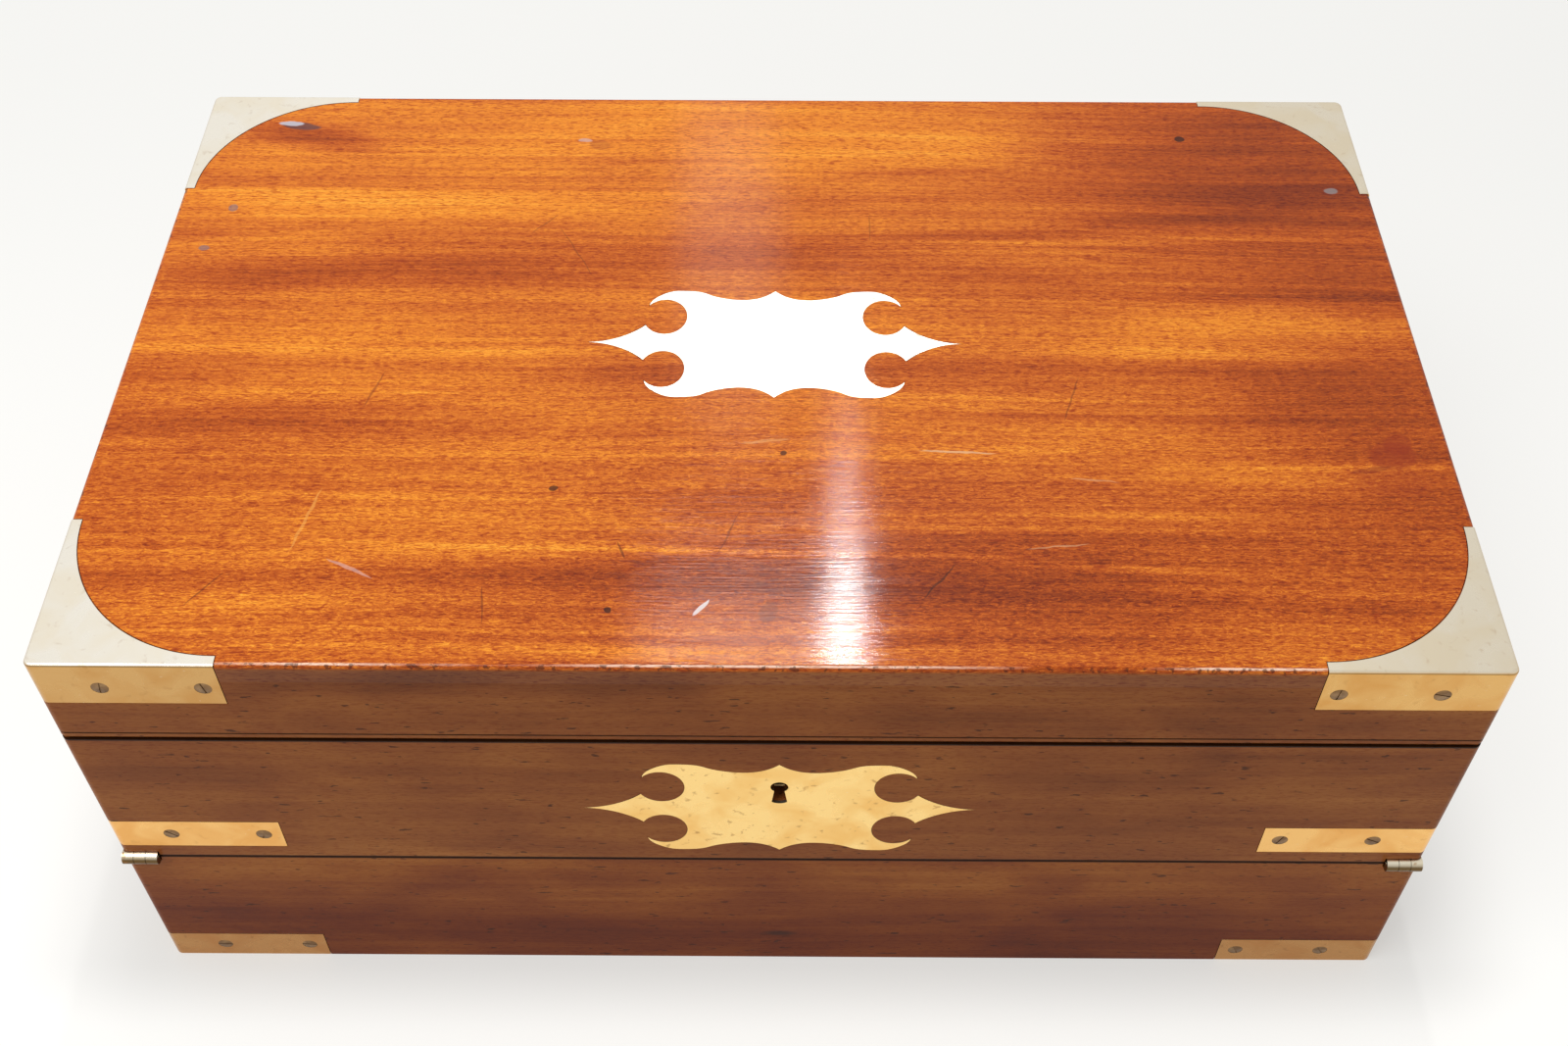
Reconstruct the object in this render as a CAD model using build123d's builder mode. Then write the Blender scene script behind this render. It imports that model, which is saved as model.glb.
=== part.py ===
from build123d import *
from math import cos, degrees, radians, sin, tan
import os

os.makedirs("parts", exist_ok=True)

# Writing slope of the triple opening kind: a base, a folding slope section that turns over
# to the front, and a hollow lid hinged at the back. Millimetres, X to the right, Y to the
# back, Z up, origin at the bottom centre.

# case
case_width = 508.0
case_depth = 317.0
fold_level = 81.5  # height of the front hinge line, half the height of the case under the lid
slope_depth = 130.0  # depth of the folding section, front to back
slope_angle = 14.0  # degrees
lid_gap = 2.2  # open joint between the folding section and the lid
lid_height = 42.8
wall = 13.0
corner_round = 3.0
edge_round = 1.2
worn_round = 2.2  # the lid's wooden top edge, rubbed rounder than its brass
arris = 0.5
lid_turn = 110.0  # degrees, to the stop
slope_turn = 180.0

# panels, rails and dividers
panel_thick = 7.0
panel_rise = 1.5  # height of the floor above the bottom edge of the walls
panel_tongue = 5.0
lid_panel_thick = 9.0
lipping_thick = 2.0
quirk = 0.5
rear_rail_thick = 9.0
partition_thick = 9.0
divider_thick = 4.0
lining_thick = 1.5

# writing flaps
flap_thick = 6.0
flap_margin = 14.0
leather_thick = 1.0
ledge_size = 8.0

# brass inlay
leaf_thick = 1.2
bracket_length = 65.0
bracket_drop = 22.0
bracket_end = 4.3
bracket_waist = 22.0  # from the corner to the hollow edge, along each side
strap_length = 66.0
strap_height = 17.5
slope_strap_side = 26.0
slope_strap_rise = 8.0  # from the fold line to the strap's lower edge
screw_near = 23.2
screw_far = 58.8
screw_short = 15.6  # on a leaf too short for the others
screw_head_radius = 3.0
screw_radius = 1.6
screw_length = 6.0
bracket_screw_drop = 13.0

# ornamental plates
plate_half_length = 73.5
plate_half_height = 30.0
bite_start = -150.0  # degrees, where a round bite opens into the barb
bite_turn = 289.0
point_growth = 1.4  # how far a blunt point of the recess moves out, as a multiple of the joint
tip_growth = 8.0  # the same for a sharp one
horn_growth = 3.5  # how much further a bite's arc runs on in the recess, as a multiple
lock_offset = 3.0  # the lock stands a little right of the middle
lock_plate_rise = 37.5  # from the fold line to the plate's centre
keyhole_rise = 15.0
keyhole_radius = 3.3
keyhole_drop = 11.2  # from the middle of the eye to the lowest point of the foot
keyhole_neck = 3.2
keyhole_foot = 5.8
keyhole_sag = 1.0

# hinges
knuckle_radius = 3.0
hinge_stand = 0.3  # from a face of the case to the hinge line
pin_radius = 1.2
hinge_leaf_thick = 1.5
front_knuckle_length = 14.0
front_leaf_width = 12.0
front_leaf_length = 50.0
back_hinge_spacing = 340.0
back_hinge_length = 60.0
back_leaf_width = 12.0

# lock
lock_width = 64.0
lock_depth = 10.2
lock_height = 34.0
lock_sheet = 1.0
selvedge_width = 78.0
selvedge_thick = 1.5
staple_spacing = 40.0
staple_width = 4.0
staple_thick = 2.0
staple_reach = 6.0
staple_eye = 2.4
bolt_travel = 4.0
bolt_thick = 1.8
bolt_bar_height = 5.0

# carrying handles
handle_level = 60.0
handle_plate_length = 100.0
handle_plate_height = 38.0
handle_plate_corner = 9.5
handle_plate_thick = 2.0
dish_length = 70.0
dish_height = 24.0
dish_depth = 10.0
dish_sheet = 1.3
bail_radius = 2.2
bail_length = 64.6
bail_drop = 15.0
bail_bend = 5.0
bail_pivot_rise = 8.5
bail_pin_radius = 1.8

# standish
tray_level = 108.0
tray_floor_thick = 6.0
standish_depth = 62.0
bottle_bay = 58.0
bay_divider_height = 30.0
pen_tray_height = 18.0
pen_groove_radius = 30.0
pen_groove_depth = 11.0
bottle_side = 42.0
bottle_corner = 5.25
bottle_floor = 5.25
bottle_body_height = 30.0
bottle_neck_radius = 12.0
bottle_neck_height = 8.0
bottle_bore_radius = 10.0
cap_radius = 16.0
cap_height = 15.0
cap_round = 3.75
cap_sheet = 2.0
rack_bay = 31.0
rack_least_bay = 20.0  # what is left at the back
rack_first_rise = 18.0  # from the tray floor to the top of the front divider
rack_step = 12.0

# clearances
seam_clear = 0.15  # each side of the sloping cut
move_clear = 0.4
seat_clear = 0.3
inlay_gap = 0.3
plate_gap = 0.15
knuckle_play = 0.2
turn_clear = 0.3
groove_fit = 0.1
screw_fit = 0.05
pin_fit = 0.05

# worked out from the above
half_width = case_width / 2
half_depth = case_depth / 2
inner_width = half_width - wall
inner_depth = half_depth - wall
slope_top = 2 * fold_level
lid_bottom = slope_top + lid_gap
case_height = lid_bottom + lid_height
rear_top = lid_bottom - 2 * seam_clear
fold_y = -half_depth - hinge_stand
slope_back = -half_depth + slope_depth
rear_front = slope_back + move_clear
rail_bottom = lid_bottom + lipping_thick
rail_top = case_height - lid_panel_thick
back_hinge_y = half_depth + hinge_stand
back_hinge_z = lid_bottom - seam_clear
lock_plate_z = fold_level + lock_plate_rise
keyhole_z = lock_plate_z + keyhole_rise
standish_front = rear_front + partition_thick
standish_back = standish_front + standish_depth
pitch = radians(slope_angle)
spill = 1.0  # how far inlay is drawn past the faces of the case, before it is trimmed to them


def seam_height(y, above=0.0):
    """Height of the sloping cut at a depth, plus a clearance measured square to it."""
    return fold_level + (y - fold_y) * tan(pitch) + above / cos(pitch)


def seam_plane(x=0.0, above=0.0):
    """Plane of the sloping cut: x to the right, y up the slope from the fold line."""
    square = (0, -sin(pitch), cos(pitch))
    return Plane(origin=(x, fold_y, fold_level), x_dir=(1, 0, 0), z_dir=square).offset(above)


def front_plane(x, z, inward=0.0):
    return Plane(origin=(x, -half_depth + inward, z), x_dir=(1, 0, 0), z_dir=(0, -1, 0))


def back_plane(x, z, inward=0.0):
    return Plane(origin=(x, half_depth - inward, z), x_dir=(-1, 0, 0), z_dir=(0, 1, 0))


def side_plane(side, y, z, inward=0.0):
    return Plane(origin=(side * (half_width - inward), y, z), x_dir=(0, side, 0), z_dir=(side, 0, 0))


def finish(piece, name):
    piece.part.label = name
    export_step(piece.part, f"parts/{name}.step")


def block(x_range, y_range, z_range, mode=Mode.ADD):
    """Square block between three pairs of limits."""
    width = x_range[1] - x_range[0]
    depth = y_range[1] - y_range[0]
    with BuildSketch(Plane.XY.offset(z_range[0])) as outline:
        with Locations(((x_range[0] + x_range[1]) / 2, (y_range[0] + y_range[1]) / 2)):
            Rectangle(width, depth)
    extrude(outline.sketch, amount=z_range[1] - z_range[0], mode=mode)


def board_across(profile, x_low, x_high):
    """Board of one section, drawn in depth and height, that runs from side to side."""
    with BuildSketch(Plane.YZ.offset(x_low)) as section:
        with BuildLine():
            Polyline(*profile, close=True)
        make_face()
    extrude(section.sketch, amount=x_high - x_low)


def ease_sloping_edge(board, side):
    """Small bevel along the outer edge of a side board, where it meets the sloping seam."""
    outer = board.faces().sort_by(Axis.X)[0 if side < 0 else -1]
    slanted = outer.edges().filter_by(Axis.Y, reverse=True).filter_by(Axis.Z, reverse=True)
    chamfer(slanted, arris)


def round_outer_corners(board, end):
    """Round the upright edges at the front (end 0) or the back (end -1) of the case."""
    fillet(board.edges().filter_by(Axis.Z).group_by(Axis.Y)[end], corner_round)


# ---------------------------------------------------------------- brass inlay


def bracket_form(side, end, gap=0.0):
    """Three leaves round a top corner of the lid, grown by a gap for their recess."""
    reach = bracket_length + gap
    tip = bracket_end + gap
    waist = bracket_waist + gap
    corner_x = side * half_width
    corner_y = end * half_depth

    def spot(along_x, along_y):
        return (corner_x - side * along_x, corner_y - end * along_y)

    with BuildPart() as form:
        with BuildSketch(Plane.XY.offset(case_height - leaf_thick)):
            with BuildLine():
                Polyline(spot(tip, reach), spot(-spill, reach), spot(-spill, -spill),
                         spot(reach, -spill), spot(reach, tip))
                ThreePointArc(spot(reach, tip), spot(waist, waist), spot(tip, reach))
            make_face()
        extrude(amount=leaf_thick + spill)
        low = case_height - bracket_drop - gap
        for along_x, along_y in ((reach, leaf_thick), (leaf_thick, reach)):
            a = spot(along_x, along_y)
            b = spot(-spill, -spill)
            block(sorted((a[0], b[0])), sorted((a[1], b[1])), (low, case_height + spill))
    return form.part


def strap_form(side, end, low, side_reach, gap=0.0):
    """Two leaves round an upright corner of the case."""
    corner_x = side * half_width
    corner_y = end * half_depth
    leaves = ((strap_length + gap, leaf_thick), (leaf_thick, side_reach + gap))
    under = low - gap if low > 0 else -spill
    with BuildPart() as form:
        for along_x, along_y in leaves:
            x_range = sorted((corner_x - side * along_x, corner_x + side * spill))
            y_range = sorted((corner_y - end * along_y, corner_y + end * spill))
            block(x_range, y_range, (under, low + strap_height + gap))
    return form.part


def case_form(low, high, top_round=0.0):
    """Outer form of the case between two levels, with its rounded corners."""
    with BuildPart() as form:
        with BuildSketch(Plane.XY.offset(low)):
            RectangleRounded(case_width, case_depth, corner_round)
        extrude(amount=high - low)
        if top_round:
            fillet(form.faces().sort_by(Axis.Z)[-1].edges(), top_round)
    return form.part


def screws(planes, fit=0.0, mode=Mode.ADD):
    """Countersunk screws, each square to its plane with the head flush."""
    with BuildSketch(*planes) as heads:
        Circle(screw_head_radius + fit)
    extrude(heads.sketch, amount=-leaf_thick, mode=mode)
    with BuildSketch(*[plane.offset(-leaf_thick) for plane in planes]) as shanks:
        Circle(screw_radius + fit)
    extrude(shanks.sketch, amount=-screw_length, mode=mode)


def corner_screws(side, end, level, side_reach=strap_length):
    """Planes of the screws that hold one bracket or strap."""
    face_plane = front_plane if end < 0 else back_plane
    reaches = (screw_near, screw_far)
    planes = [face_plane(side * (half_width - reach), level) for reach in reaches]
    side_spots = [reach for reach in reaches if reach < side_reach - screw_head_radius]
    side_spots = side_spots or [screw_short]
    planes += [side_plane(side, end * (half_depth - reach), level) for reach in side_spots]
    return planes


corners = [("front_left", -1, -1), ("front_right", 1, -1), ("back_left", -1, 1), ("back_right", 1, 1)]
front_corners = corners[:2]
back_corners = corners[2:]

slope_strap_low = fold_level + slope_strap_rise
bracket_screw_level = case_height - bracket_screw_drop
base_strap_level = strap_height / 2
upper_strap_level = slope_strap_low + strap_height / 2

bracket_recesses = [bracket_form(side, end, inlay_gap) for _, side, end in corners]
base_recesses = [strap_form(side, end, 0.0, strap_length, inlay_gap) for _, side, end in corners]
base_recesses += [
    strap_form(side, end, slope_strap_low, strap_length, inlay_gap) for _, side, end in back_corners
]
slope_recesses = [
    strap_form(side, end, slope_strap_low, slope_strap_side, inlay_gap) for _, side, end in front_corners
]

lid_screw_planes = []
for _, side, end in corners:
    lid_screw_planes += corner_screws(side, end, bracket_screw_level)
base_screw_planes = []
for _, side, end in corners:
    base_screw_planes += corner_screws(side, end, base_strap_level)
for _, side, end in back_corners:
    base_screw_planes += corner_screws(side, end, upper_strap_level)
for side in (-1, 1):
    for place in (-1, 1):
        handle_screw_y = place * (dish_length + handle_plate_length) / 4
        base_screw_planes.append(side_plane(side, handle_screw_y, handle_level))
slope_screw_planes = []
for _, side, end in front_corners:
    slope_screw_planes += corner_screws(side, end, upper_strap_level, slope_strap_side)


def let_in(recesses, planes):
    """Cut the recesses of the inlay, and the holes of its screws, out of a board."""
    for recess in recesses:
        add(recess, mode=Mode.SUBTRACT)
    screws(planes, fit=screw_fit, mode=Mode.SUBTRACT)


for place, side, end in corners:
    with BuildPart() as bracket:
        add(bracket_form(side, end))
        add(case_form(rail_bottom, case_height, edge_round), mode=Mode.INTERSECT)
        screws(corner_screws(side, end, bracket_screw_level), fit=screw_fit, mode=Mode.SUBTRACT)
    finish(bracket, f"lid_bracket_{place}")

    with BuildPart() as strap:
        add(strap_form(side, end, 0.0, strap_length))
        add(case_form(0.0, slope_top), mode=Mode.INTERSECT)
        screws(corner_screws(side, end, base_strap_level), fit=screw_fit, mode=Mode.SUBTRACT)
    finish(strap, f"base_strap_{place}")

with BuildPart() as upper_straps:
    for place, side, end in back_corners:
        add(strap_form(side, end, slope_strap_low, strap_length))
    add(case_form(0.0, slope_top), mode=Mode.INTERSECT)
    for place, side, end in back_corners:
        screws(corner_screws(side, end, upper_strap_level), fit=screw_fit, mode=Mode.SUBTRACT)
finish(upper_straps, "upper_straps")

for place, side, end in front_corners:
    with BuildPart() as slope_strap:
        add(strap_form(side, end, slope_strap_low, slope_strap_side))
        add(case_form(0.0, slope_top), mode=Mode.INTERSECT)
        held = corner_screws(side, end, upper_strap_level, slope_strap_side)
        screws(held, fit=screw_fit, mode=Mode.SUBTRACT)
    finish(slope_strap, f"slope_strap_{place}")

for name, planes in (
    ("lid_screws", lid_screw_planes),
    ("base_screws", base_screw_planes),
    ("slope_screws", slope_screw_planes),
):
    with BuildPart() as screw_set:
        screws(planes)
    finish(screw_set, name)


# ---------------------------------------------------------------- ornamental plates


def ornamental_plate(gap=0.0):
    """Outline of a pierced plate, or of its recess where it is grown by the joint round it.

    It has ogee edges, four round bites and a barbed point each end.
    """
    crest = (-0.52 * plate_half_length, plate_half_height + gap)
    bite_centre = (-0.597 * plate_half_length, 0.493 * plate_half_height)
    bite_x = 0.12 * plate_half_length - gap
    bite_y = 0.333 * plate_half_height - gap
    turn_on = degrees(2 * gap / bite_x)
    start = bite_start - turn_on
    turn = bite_turn + horn_growth * turn_on
    with BuildLine() as outline:
        bite = EllipticalCenterArc(bite_centre, bite_x, bite_y, start_angle=start, arc_size=turn)
        barb = bite @ 0
        horn = bite @ 1
        middle = (0, plate_half_height + point_growth * gap)
        dip = (-0.165 * plate_half_length, 0.823 * plate_half_height + gap)
        rise = (-0.35 * plate_half_length, 0.91 * plate_half_height + gap)
        Spline(middle, dip, rise, crest, tangents=((-0.72, -0.7), (-1, 0.0)))
        shoulder = (-0.63 * plate_half_length - gap, 0.905 * plate_half_height + gap)
        Spline(crest, shoulder, horn, tangents=((-1, 0.0), (-0.2, -1)))
        lance = (-0.805 * plate_half_length, 0.133 * plate_half_height + gap)
        tip = (-plate_half_length - tip_growth * gap, 0)
        Spline(barb, lance, tip, tangents=((-0.7, -0.75), (-1, -0.04)))
        mirror(about=Plane.XZ)
        mirror(about=Plane.YZ)
    make_face(outline.edges())


def keyhole(mode=Mode.SUBTRACT, about=0.0):
    """Round eye over a slot that widens towards its foot."""
    with Locations((0, about)):
        Circle(keyhole_radius, mode=mode)
    left_foot = (-keyhole_foot / 2, about - keyhole_drop + keyhole_sag)
    right_foot = (keyhole_foot / 2, about - keyhole_drop + keyhole_sag)
    with BuildLine() as slot:
        Polyline((-keyhole_neck / 2, about), left_foot)
        ThreePointArc(left_foot, (0, about - keyhole_drop), right_foot)
        Polyline(right_foot, (keyhole_neck / 2, about), (-keyhole_neck / 2, about))
    make_face(slot.edges(), mode=mode)


with BuildPart() as lock_plate:
    with BuildSketch(front_plane(lock_offset, lock_plate_z)):
        ornamental_plate()
        keyhole(about=keyhole_rise)
    extrude(amount=-leaf_thick)
finish(lock_plate, "lock_plate")

with BuildPart() as lid_plate:
    with BuildSketch(Plane.XY.offset(case_height)):
        ornamental_plate()
    extrude(amount=-leaf_thick)
finish(lid_plate, "lid_plate")

# ---------------------------------------------------------------- hinges

front_hinge_x = half_width - front_knuckle_length / 2 - turn_clear
front_hinge_ends = (-front_knuckle_length / 2, front_knuckle_length / 2)


def knuckle_rod(centre, ends, radius, mode=Mode.ADD):
    """Round stretch along X about a hinge line at (x, y, z)."""
    with BuildSketch(Plane.YZ.offset(centre[0] + ends[0])) as circle:
        with Locations((centre[1], centre[2])):
            Circle(radius)
    extrude(circle.sketch, amount=ends[1] - ends[0], mode=mode)


def knuckle_spans(length, count, parity, gap):
    """Ends of every second knuckle along a hinge, with a little play between neighbours."""
    pitch_length = length / count
    starts = [-length / 2 + pitch_length * i for i in range(parity, count, 2)]
    return [(start + gap / 2, start + pitch_length - gap / 2) for start in starts]


def hinge_leaf(centre, leaf_plane, leaf_size, leaf_sign, length, count, parity):
    """One half of a hinge: its leaf, its knuckles and the bore for the pin."""
    with BuildPart() as half:
        with BuildSketch(leaf_plane):
            Rectangle(*leaf_size, align=(Align.CENTER, Align.MIN))
        extrude(amount=leaf_sign * hinge_leaf_thick)
        for span in knuckle_spans(length, count, 1 - parity, -knuckle_play):
            knuckle_rod(centre, span, knuckle_radius + turn_clear, mode=Mode.SUBTRACT)
        for span in knuckle_spans(length, count, parity, knuckle_play):
            knuckle_rod(centre, span, knuckle_radius)
        whole = (-length, length)
        knuckle_rod(centre, whole, pin_radius + pin_fit, mode=Mode.SUBTRACT)
    return half


def cut_front_hinge(side, upper):
    """Room in the boards for a front hinge's knuckles and leaf."""
    centre = (side * front_hinge_x, fold_y, fold_level)
    ends = (-front_knuckle_length / 2 - turn_clear, front_knuckle_length / 2 + wall)
    if side < 0:
        ends = (-ends[1], -ends[0])
    knuckle_rod(centre, ends, knuckle_radius + turn_clear, mode=Mode.SUBTRACT)
    sign = 1 if upper else -1
    with BuildSketch(seam_plane(side * front_hinge_x)) as leaf:
        width = front_leaf_width + 2 * inlay_gap
        Rectangle(width, front_leaf_length + inlay_gap, align=(Align.CENTER, Align.MIN))
    extrude(leaf.sketch, amount=sign * (seam_clear + hinge_leaf_thick), mode=Mode.SUBTRACT)


def cut_back_hinges(upper):
    """Room in the boards for the back hinges' knuckles and leaves."""
    sign = 1 if upper else -1
    for side in (-1, 1):
        centre = (side * back_hinge_spacing / 2, back_hinge_y, back_hinge_z)
        half_length = back_hinge_length / 2 + inlay_gap
        knuckle_rod(centre, (-half_length, half_length), knuckle_radius + turn_clear, mode=Mode.SUBTRACT)
        with BuildSketch(Plane.XY.offset(back_hinge_z)) as leaf:
            with Locations((centre[0], back_hinge_y)):
                width = back_hinge_length + 2 * inlay_gap
                Rectangle(width, back_leaf_width + inlay_gap, align=(Align.CENTER, Align.MAX))
        extrude(leaf.sketch, amount=sign * (seam_clear + hinge_leaf_thick), mode=Mode.SUBTRACT)


front_leaf = (front_leaf_width, front_leaf_length)
for hand, side in (("left", -1), ("right", 1)):
    for level, sign, parity in (("lower", -1, 0), ("upper", 1, 1)):
        fold_centre = (side * front_hinge_x, fold_y, fold_level)
        leaf_plane = seam_plane(fold_centre[0], sign * seam_clear)
        front_hinge = hinge_leaf(fold_centre, leaf_plane, front_leaf, sign, front_knuckle_length, 3, parity)
        finish(front_hinge, f"front_hinge_{level}_{hand}")

back_leaf = (back_hinge_length, back_leaf_width)
for level, sign, parity in (("lower", -1, 0), ("upper", 1, 1)):
    with BuildPart() as back_hinges:
        for side in (-1, 1):
            back_centre = (side * back_hinge_spacing / 2, back_hinge_y, back_hinge_z)
            level_plane = Plane(origin=back_centre, x_dir=(-1, 0, 0), z_dir=(0, 0, 1))
            leaf_plane = level_plane.offset(sign * seam_clear)
            half = hinge_leaf(back_centre, leaf_plane, back_leaf, sign, back_hinge_length, 5, parity)
            add(half.part)
    finish(back_hinges, f"back_hinges_{level}")

with BuildPart() as hinge_pins:
    for side in (-1, 1):
        knuckle_rod((side * front_hinge_x, fold_y, fold_level), front_hinge_ends, pin_radius)
        back_ends = (-back_hinge_length / 2, back_hinge_length / 2)
        back_spot = (side * back_hinge_spacing / 2, back_hinge_y, back_hinge_z)
        knuckle_rod(back_spot, back_ends, pin_radius)
finish(hinge_pins, "hinge_pins")

# ---------------------------------------------------------------- base


def cut_floor_groove(low, back):
    """Groove for a floor panel that reaches from the front wall to the given depth."""
    reach_x = inner_width + panel_tongue + groove_fit
    y_range = (-inner_depth - panel_tongue - groove_fit, back + panel_tongue + groove_fit)
    block((-reach_x, reach_x), y_range, (low, low + panel_thick), mode=Mode.SUBTRACT)


def floor_panel(low, back):
    reach_x = inner_width + panel_tongue
    y_range = (-inner_depth - panel_tongue, back + panel_tongue)
    block((-reach_x, reach_x), y_range, (low, low + panel_thick))


dish_back = half_width - dish_depth - dish_sheet


def cut_handle_seat(side):
    """Seat of a handle plate and its dish, from the outside of a side board."""
    with BuildSketch(side_plane(side, 0, handle_level)) as plate:
        length = handle_plate_length + 2 * inlay_gap
        height = handle_plate_height + 2 * inlay_gap
        RectangleRounded(length, height, handle_plate_corner + inlay_gap)
    extrude(plate.sketch, amount=-handle_plate_thick, mode=Mode.SUBTRACT)
    with BuildSketch(side_plane(side, 0, handle_level)) as dish:
        length = dish_length + 2 * (dish_sheet + groove_fit)
        Rectangle(length, dish_height + 2 * (dish_sheet + groove_fit))
    extrude(dish.sketch, amount=-(half_width - dish_back), mode=Mode.SUBTRACT)


with BuildPart() as base_front_board:
    profile = [
        (-half_depth, 0),
        (-inner_depth, 0),
        (-inner_depth, seam_height(-inner_depth, -seam_clear)),
        (-half_depth, seam_height(-half_depth, -seam_clear)),
    ]
    board_across(profile, -half_width, half_width)
    outer = base_front_board.edges().filter_by(Axis.X).group_by(Axis.Y)[0]
    chamfer(outer.sort_by(Axis.Z)[-1], arris)
    round_outer_corners(base_front_board, 0)
    cut_floor_groove(panel_rise, inner_depth)
    for side in (-1, 1):
        cut_front_hinge(side, upper=False)
    let_in(base_recesses[:2], base_screw_planes)
finish(base_front_board, "base_front_board")

with BuildPart() as base_back_board:
    block((-half_width, half_width), (inner_depth, half_depth), (0, rear_top))
    round_outer_corners(base_back_board, -1)
    cut_floor_groove(panel_rise, inner_depth)
    cut_back_hinges(upper=False)
    let_in(base_recesses[2:], base_screw_planes)
finish(base_back_board, "base_back_board")

for hand, side in (("left", -1), ("right", 1)):
    with BuildPart() as base_side_board:
        profile = [
            (-inner_depth, 0),
            (-inner_depth, seam_height(-inner_depth, -seam_clear)),
            (rear_front, seam_height(rear_front, -seam_clear)),
            (rear_front, rear_top),
            (inner_depth, rear_top),
            (inner_depth, 0),
        ]
        board_across(profile, *sorted((side * inner_width, side * half_width)))
        ease_sloping_edge(base_side_board, side)
        cut_floor_groove(panel_rise, inner_depth)
        cut_front_hinge(side, upper=False)
        cut_handle_seat(side)
        let_in(base_recesses, base_screw_planes)
    finish(base_side_board, f"base_{hand}_board")

with BuildPart() as base_floor:
    floor_panel(panel_rise, inner_depth)
finish(base_floor, "base_floor")

floor_top = panel_rise + panel_thick
compartment_half = inner_width - groove_fit

with BuildPart() as standish_wall:
    y_range = (rear_front, rear_front + partition_thick)
    block((-compartment_half, compartment_half), y_range, (floor_top, rear_top))
finish(standish_wall, "standish_wall")

# ---------------------------------------------------------------- folding section

slope_floor_low = slope_top - panel_rise - panel_thick
rear_rail_front = slope_back - rear_rail_thick

with BuildPart() as slope_front_board:
    profile = [
        (-half_depth, seam_height(-half_depth, seam_clear)),
        (-inner_depth, seam_height(-inner_depth, seam_clear)),
        (-inner_depth, slope_top),
        (-half_depth, slope_top),
    ]
    board_across(profile, -half_width, half_width)
    outer = slope_front_board.edges().filter_by(Axis.X).group_by(Axis.Y)[0]
    chamfer(outer.sort_by(Axis.Z)[0], arris)
    round_outer_corners(slope_front_board, 0)
    cut_floor_groove(slope_floor_low, rear_rail_front)
    for side in (-1, 1):
        cut_front_hinge(side, upper=True)
    let_in(slope_recesses, slope_screw_planes)
    with BuildSketch(front_plane(lock_offset, lock_plate_z)):
        ornamental_plate(plate_gap)
    extrude(amount=-leaf_thick, mode=Mode.SUBTRACT)
    with BuildSketch(front_plane(lock_offset, lock_plate_z)):
        keyhole(mode=Mode.ADD, about=keyhole_rise)
    extrude(amount=-wall, mode=Mode.SUBTRACT)
    lock_left = lock_offset - lock_width / 2 - groove_fit
    lock_right = lock_offset + lock_width / 2 + groove_fit
    lock_front = -inner_depth - lock_depth - groove_fit
    lock_low = slope_top - lock_height - groove_fit
    block((lock_left, lock_right), (lock_front, -inner_depth), (lock_low, slope_top), mode=Mode.SUBTRACT)
    reach = selvedge_width / 2 + groove_fit
    selvedge_range = (lock_front - groove_fit, -inner_depth)
    selvedge_x = (lock_offset - reach, lock_offset + reach)
    block(selvedge_x, selvedge_range, (slope_top - selvedge_thick, slope_top), mode=Mode.SUBTRACT)
finish(slope_front_board, "slope_front_board")

for hand, side in (("left", -1), ("right", 1)):
    with BuildPart() as cheek:
        profile = [
            (-inner_depth, seam_height(-inner_depth, seam_clear)),
            (slope_back, seam_height(slope_back, seam_clear)),
            (slope_back, slope_top),
            (-inner_depth, slope_top),
        ]
        board_across(profile, *sorted((side * inner_width, side * half_width)))
        ease_sloping_edge(cheek, side)
        cut_floor_groove(slope_floor_low, rear_rail_front)
        cut_front_hinge(side, upper=True)
        let_in(slope_recesses, slope_screw_planes)
    finish(cheek, f"slope_{hand}_cheek")

with BuildPart() as slope_rear_rail:
    profile = [
        (rear_rail_front, seam_height(rear_rail_front, seam_clear)),
        (slope_back, seam_height(slope_back, seam_clear)),
        (slope_back, slope_top),
        (rear_rail_front, slope_top),
    ]
    board_across(profile, -inner_width, inner_width)
    cut_floor_groove(slope_floor_low, rear_rail_front)
finish(slope_rear_rail, "slope_rear_rail")

with BuildPart() as slope_floor:
    floor_panel(slope_floor_low, rear_rail_front)
    tongue_end = -inner_depth - panel_tongue - groove_fit
    notch_z = (slope_floor_low, slope_floor_low + panel_thick)
    notch_reach = selvedge_width / 2 + groove_fit
    notch_x = (lock_offset - notch_reach, lock_offset + notch_reach)
    block(notch_x, (tongue_end, -inner_depth), notch_z, mode=Mode.SUBTRACT)
finish(slope_floor, "slope_floor")

# ---------------------------------------------------------------- writing flaps


def up_slope(y):
    """Distance up the slope from the fold line to a depth."""
    return (y - fold_y) / cos(pitch)


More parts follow.
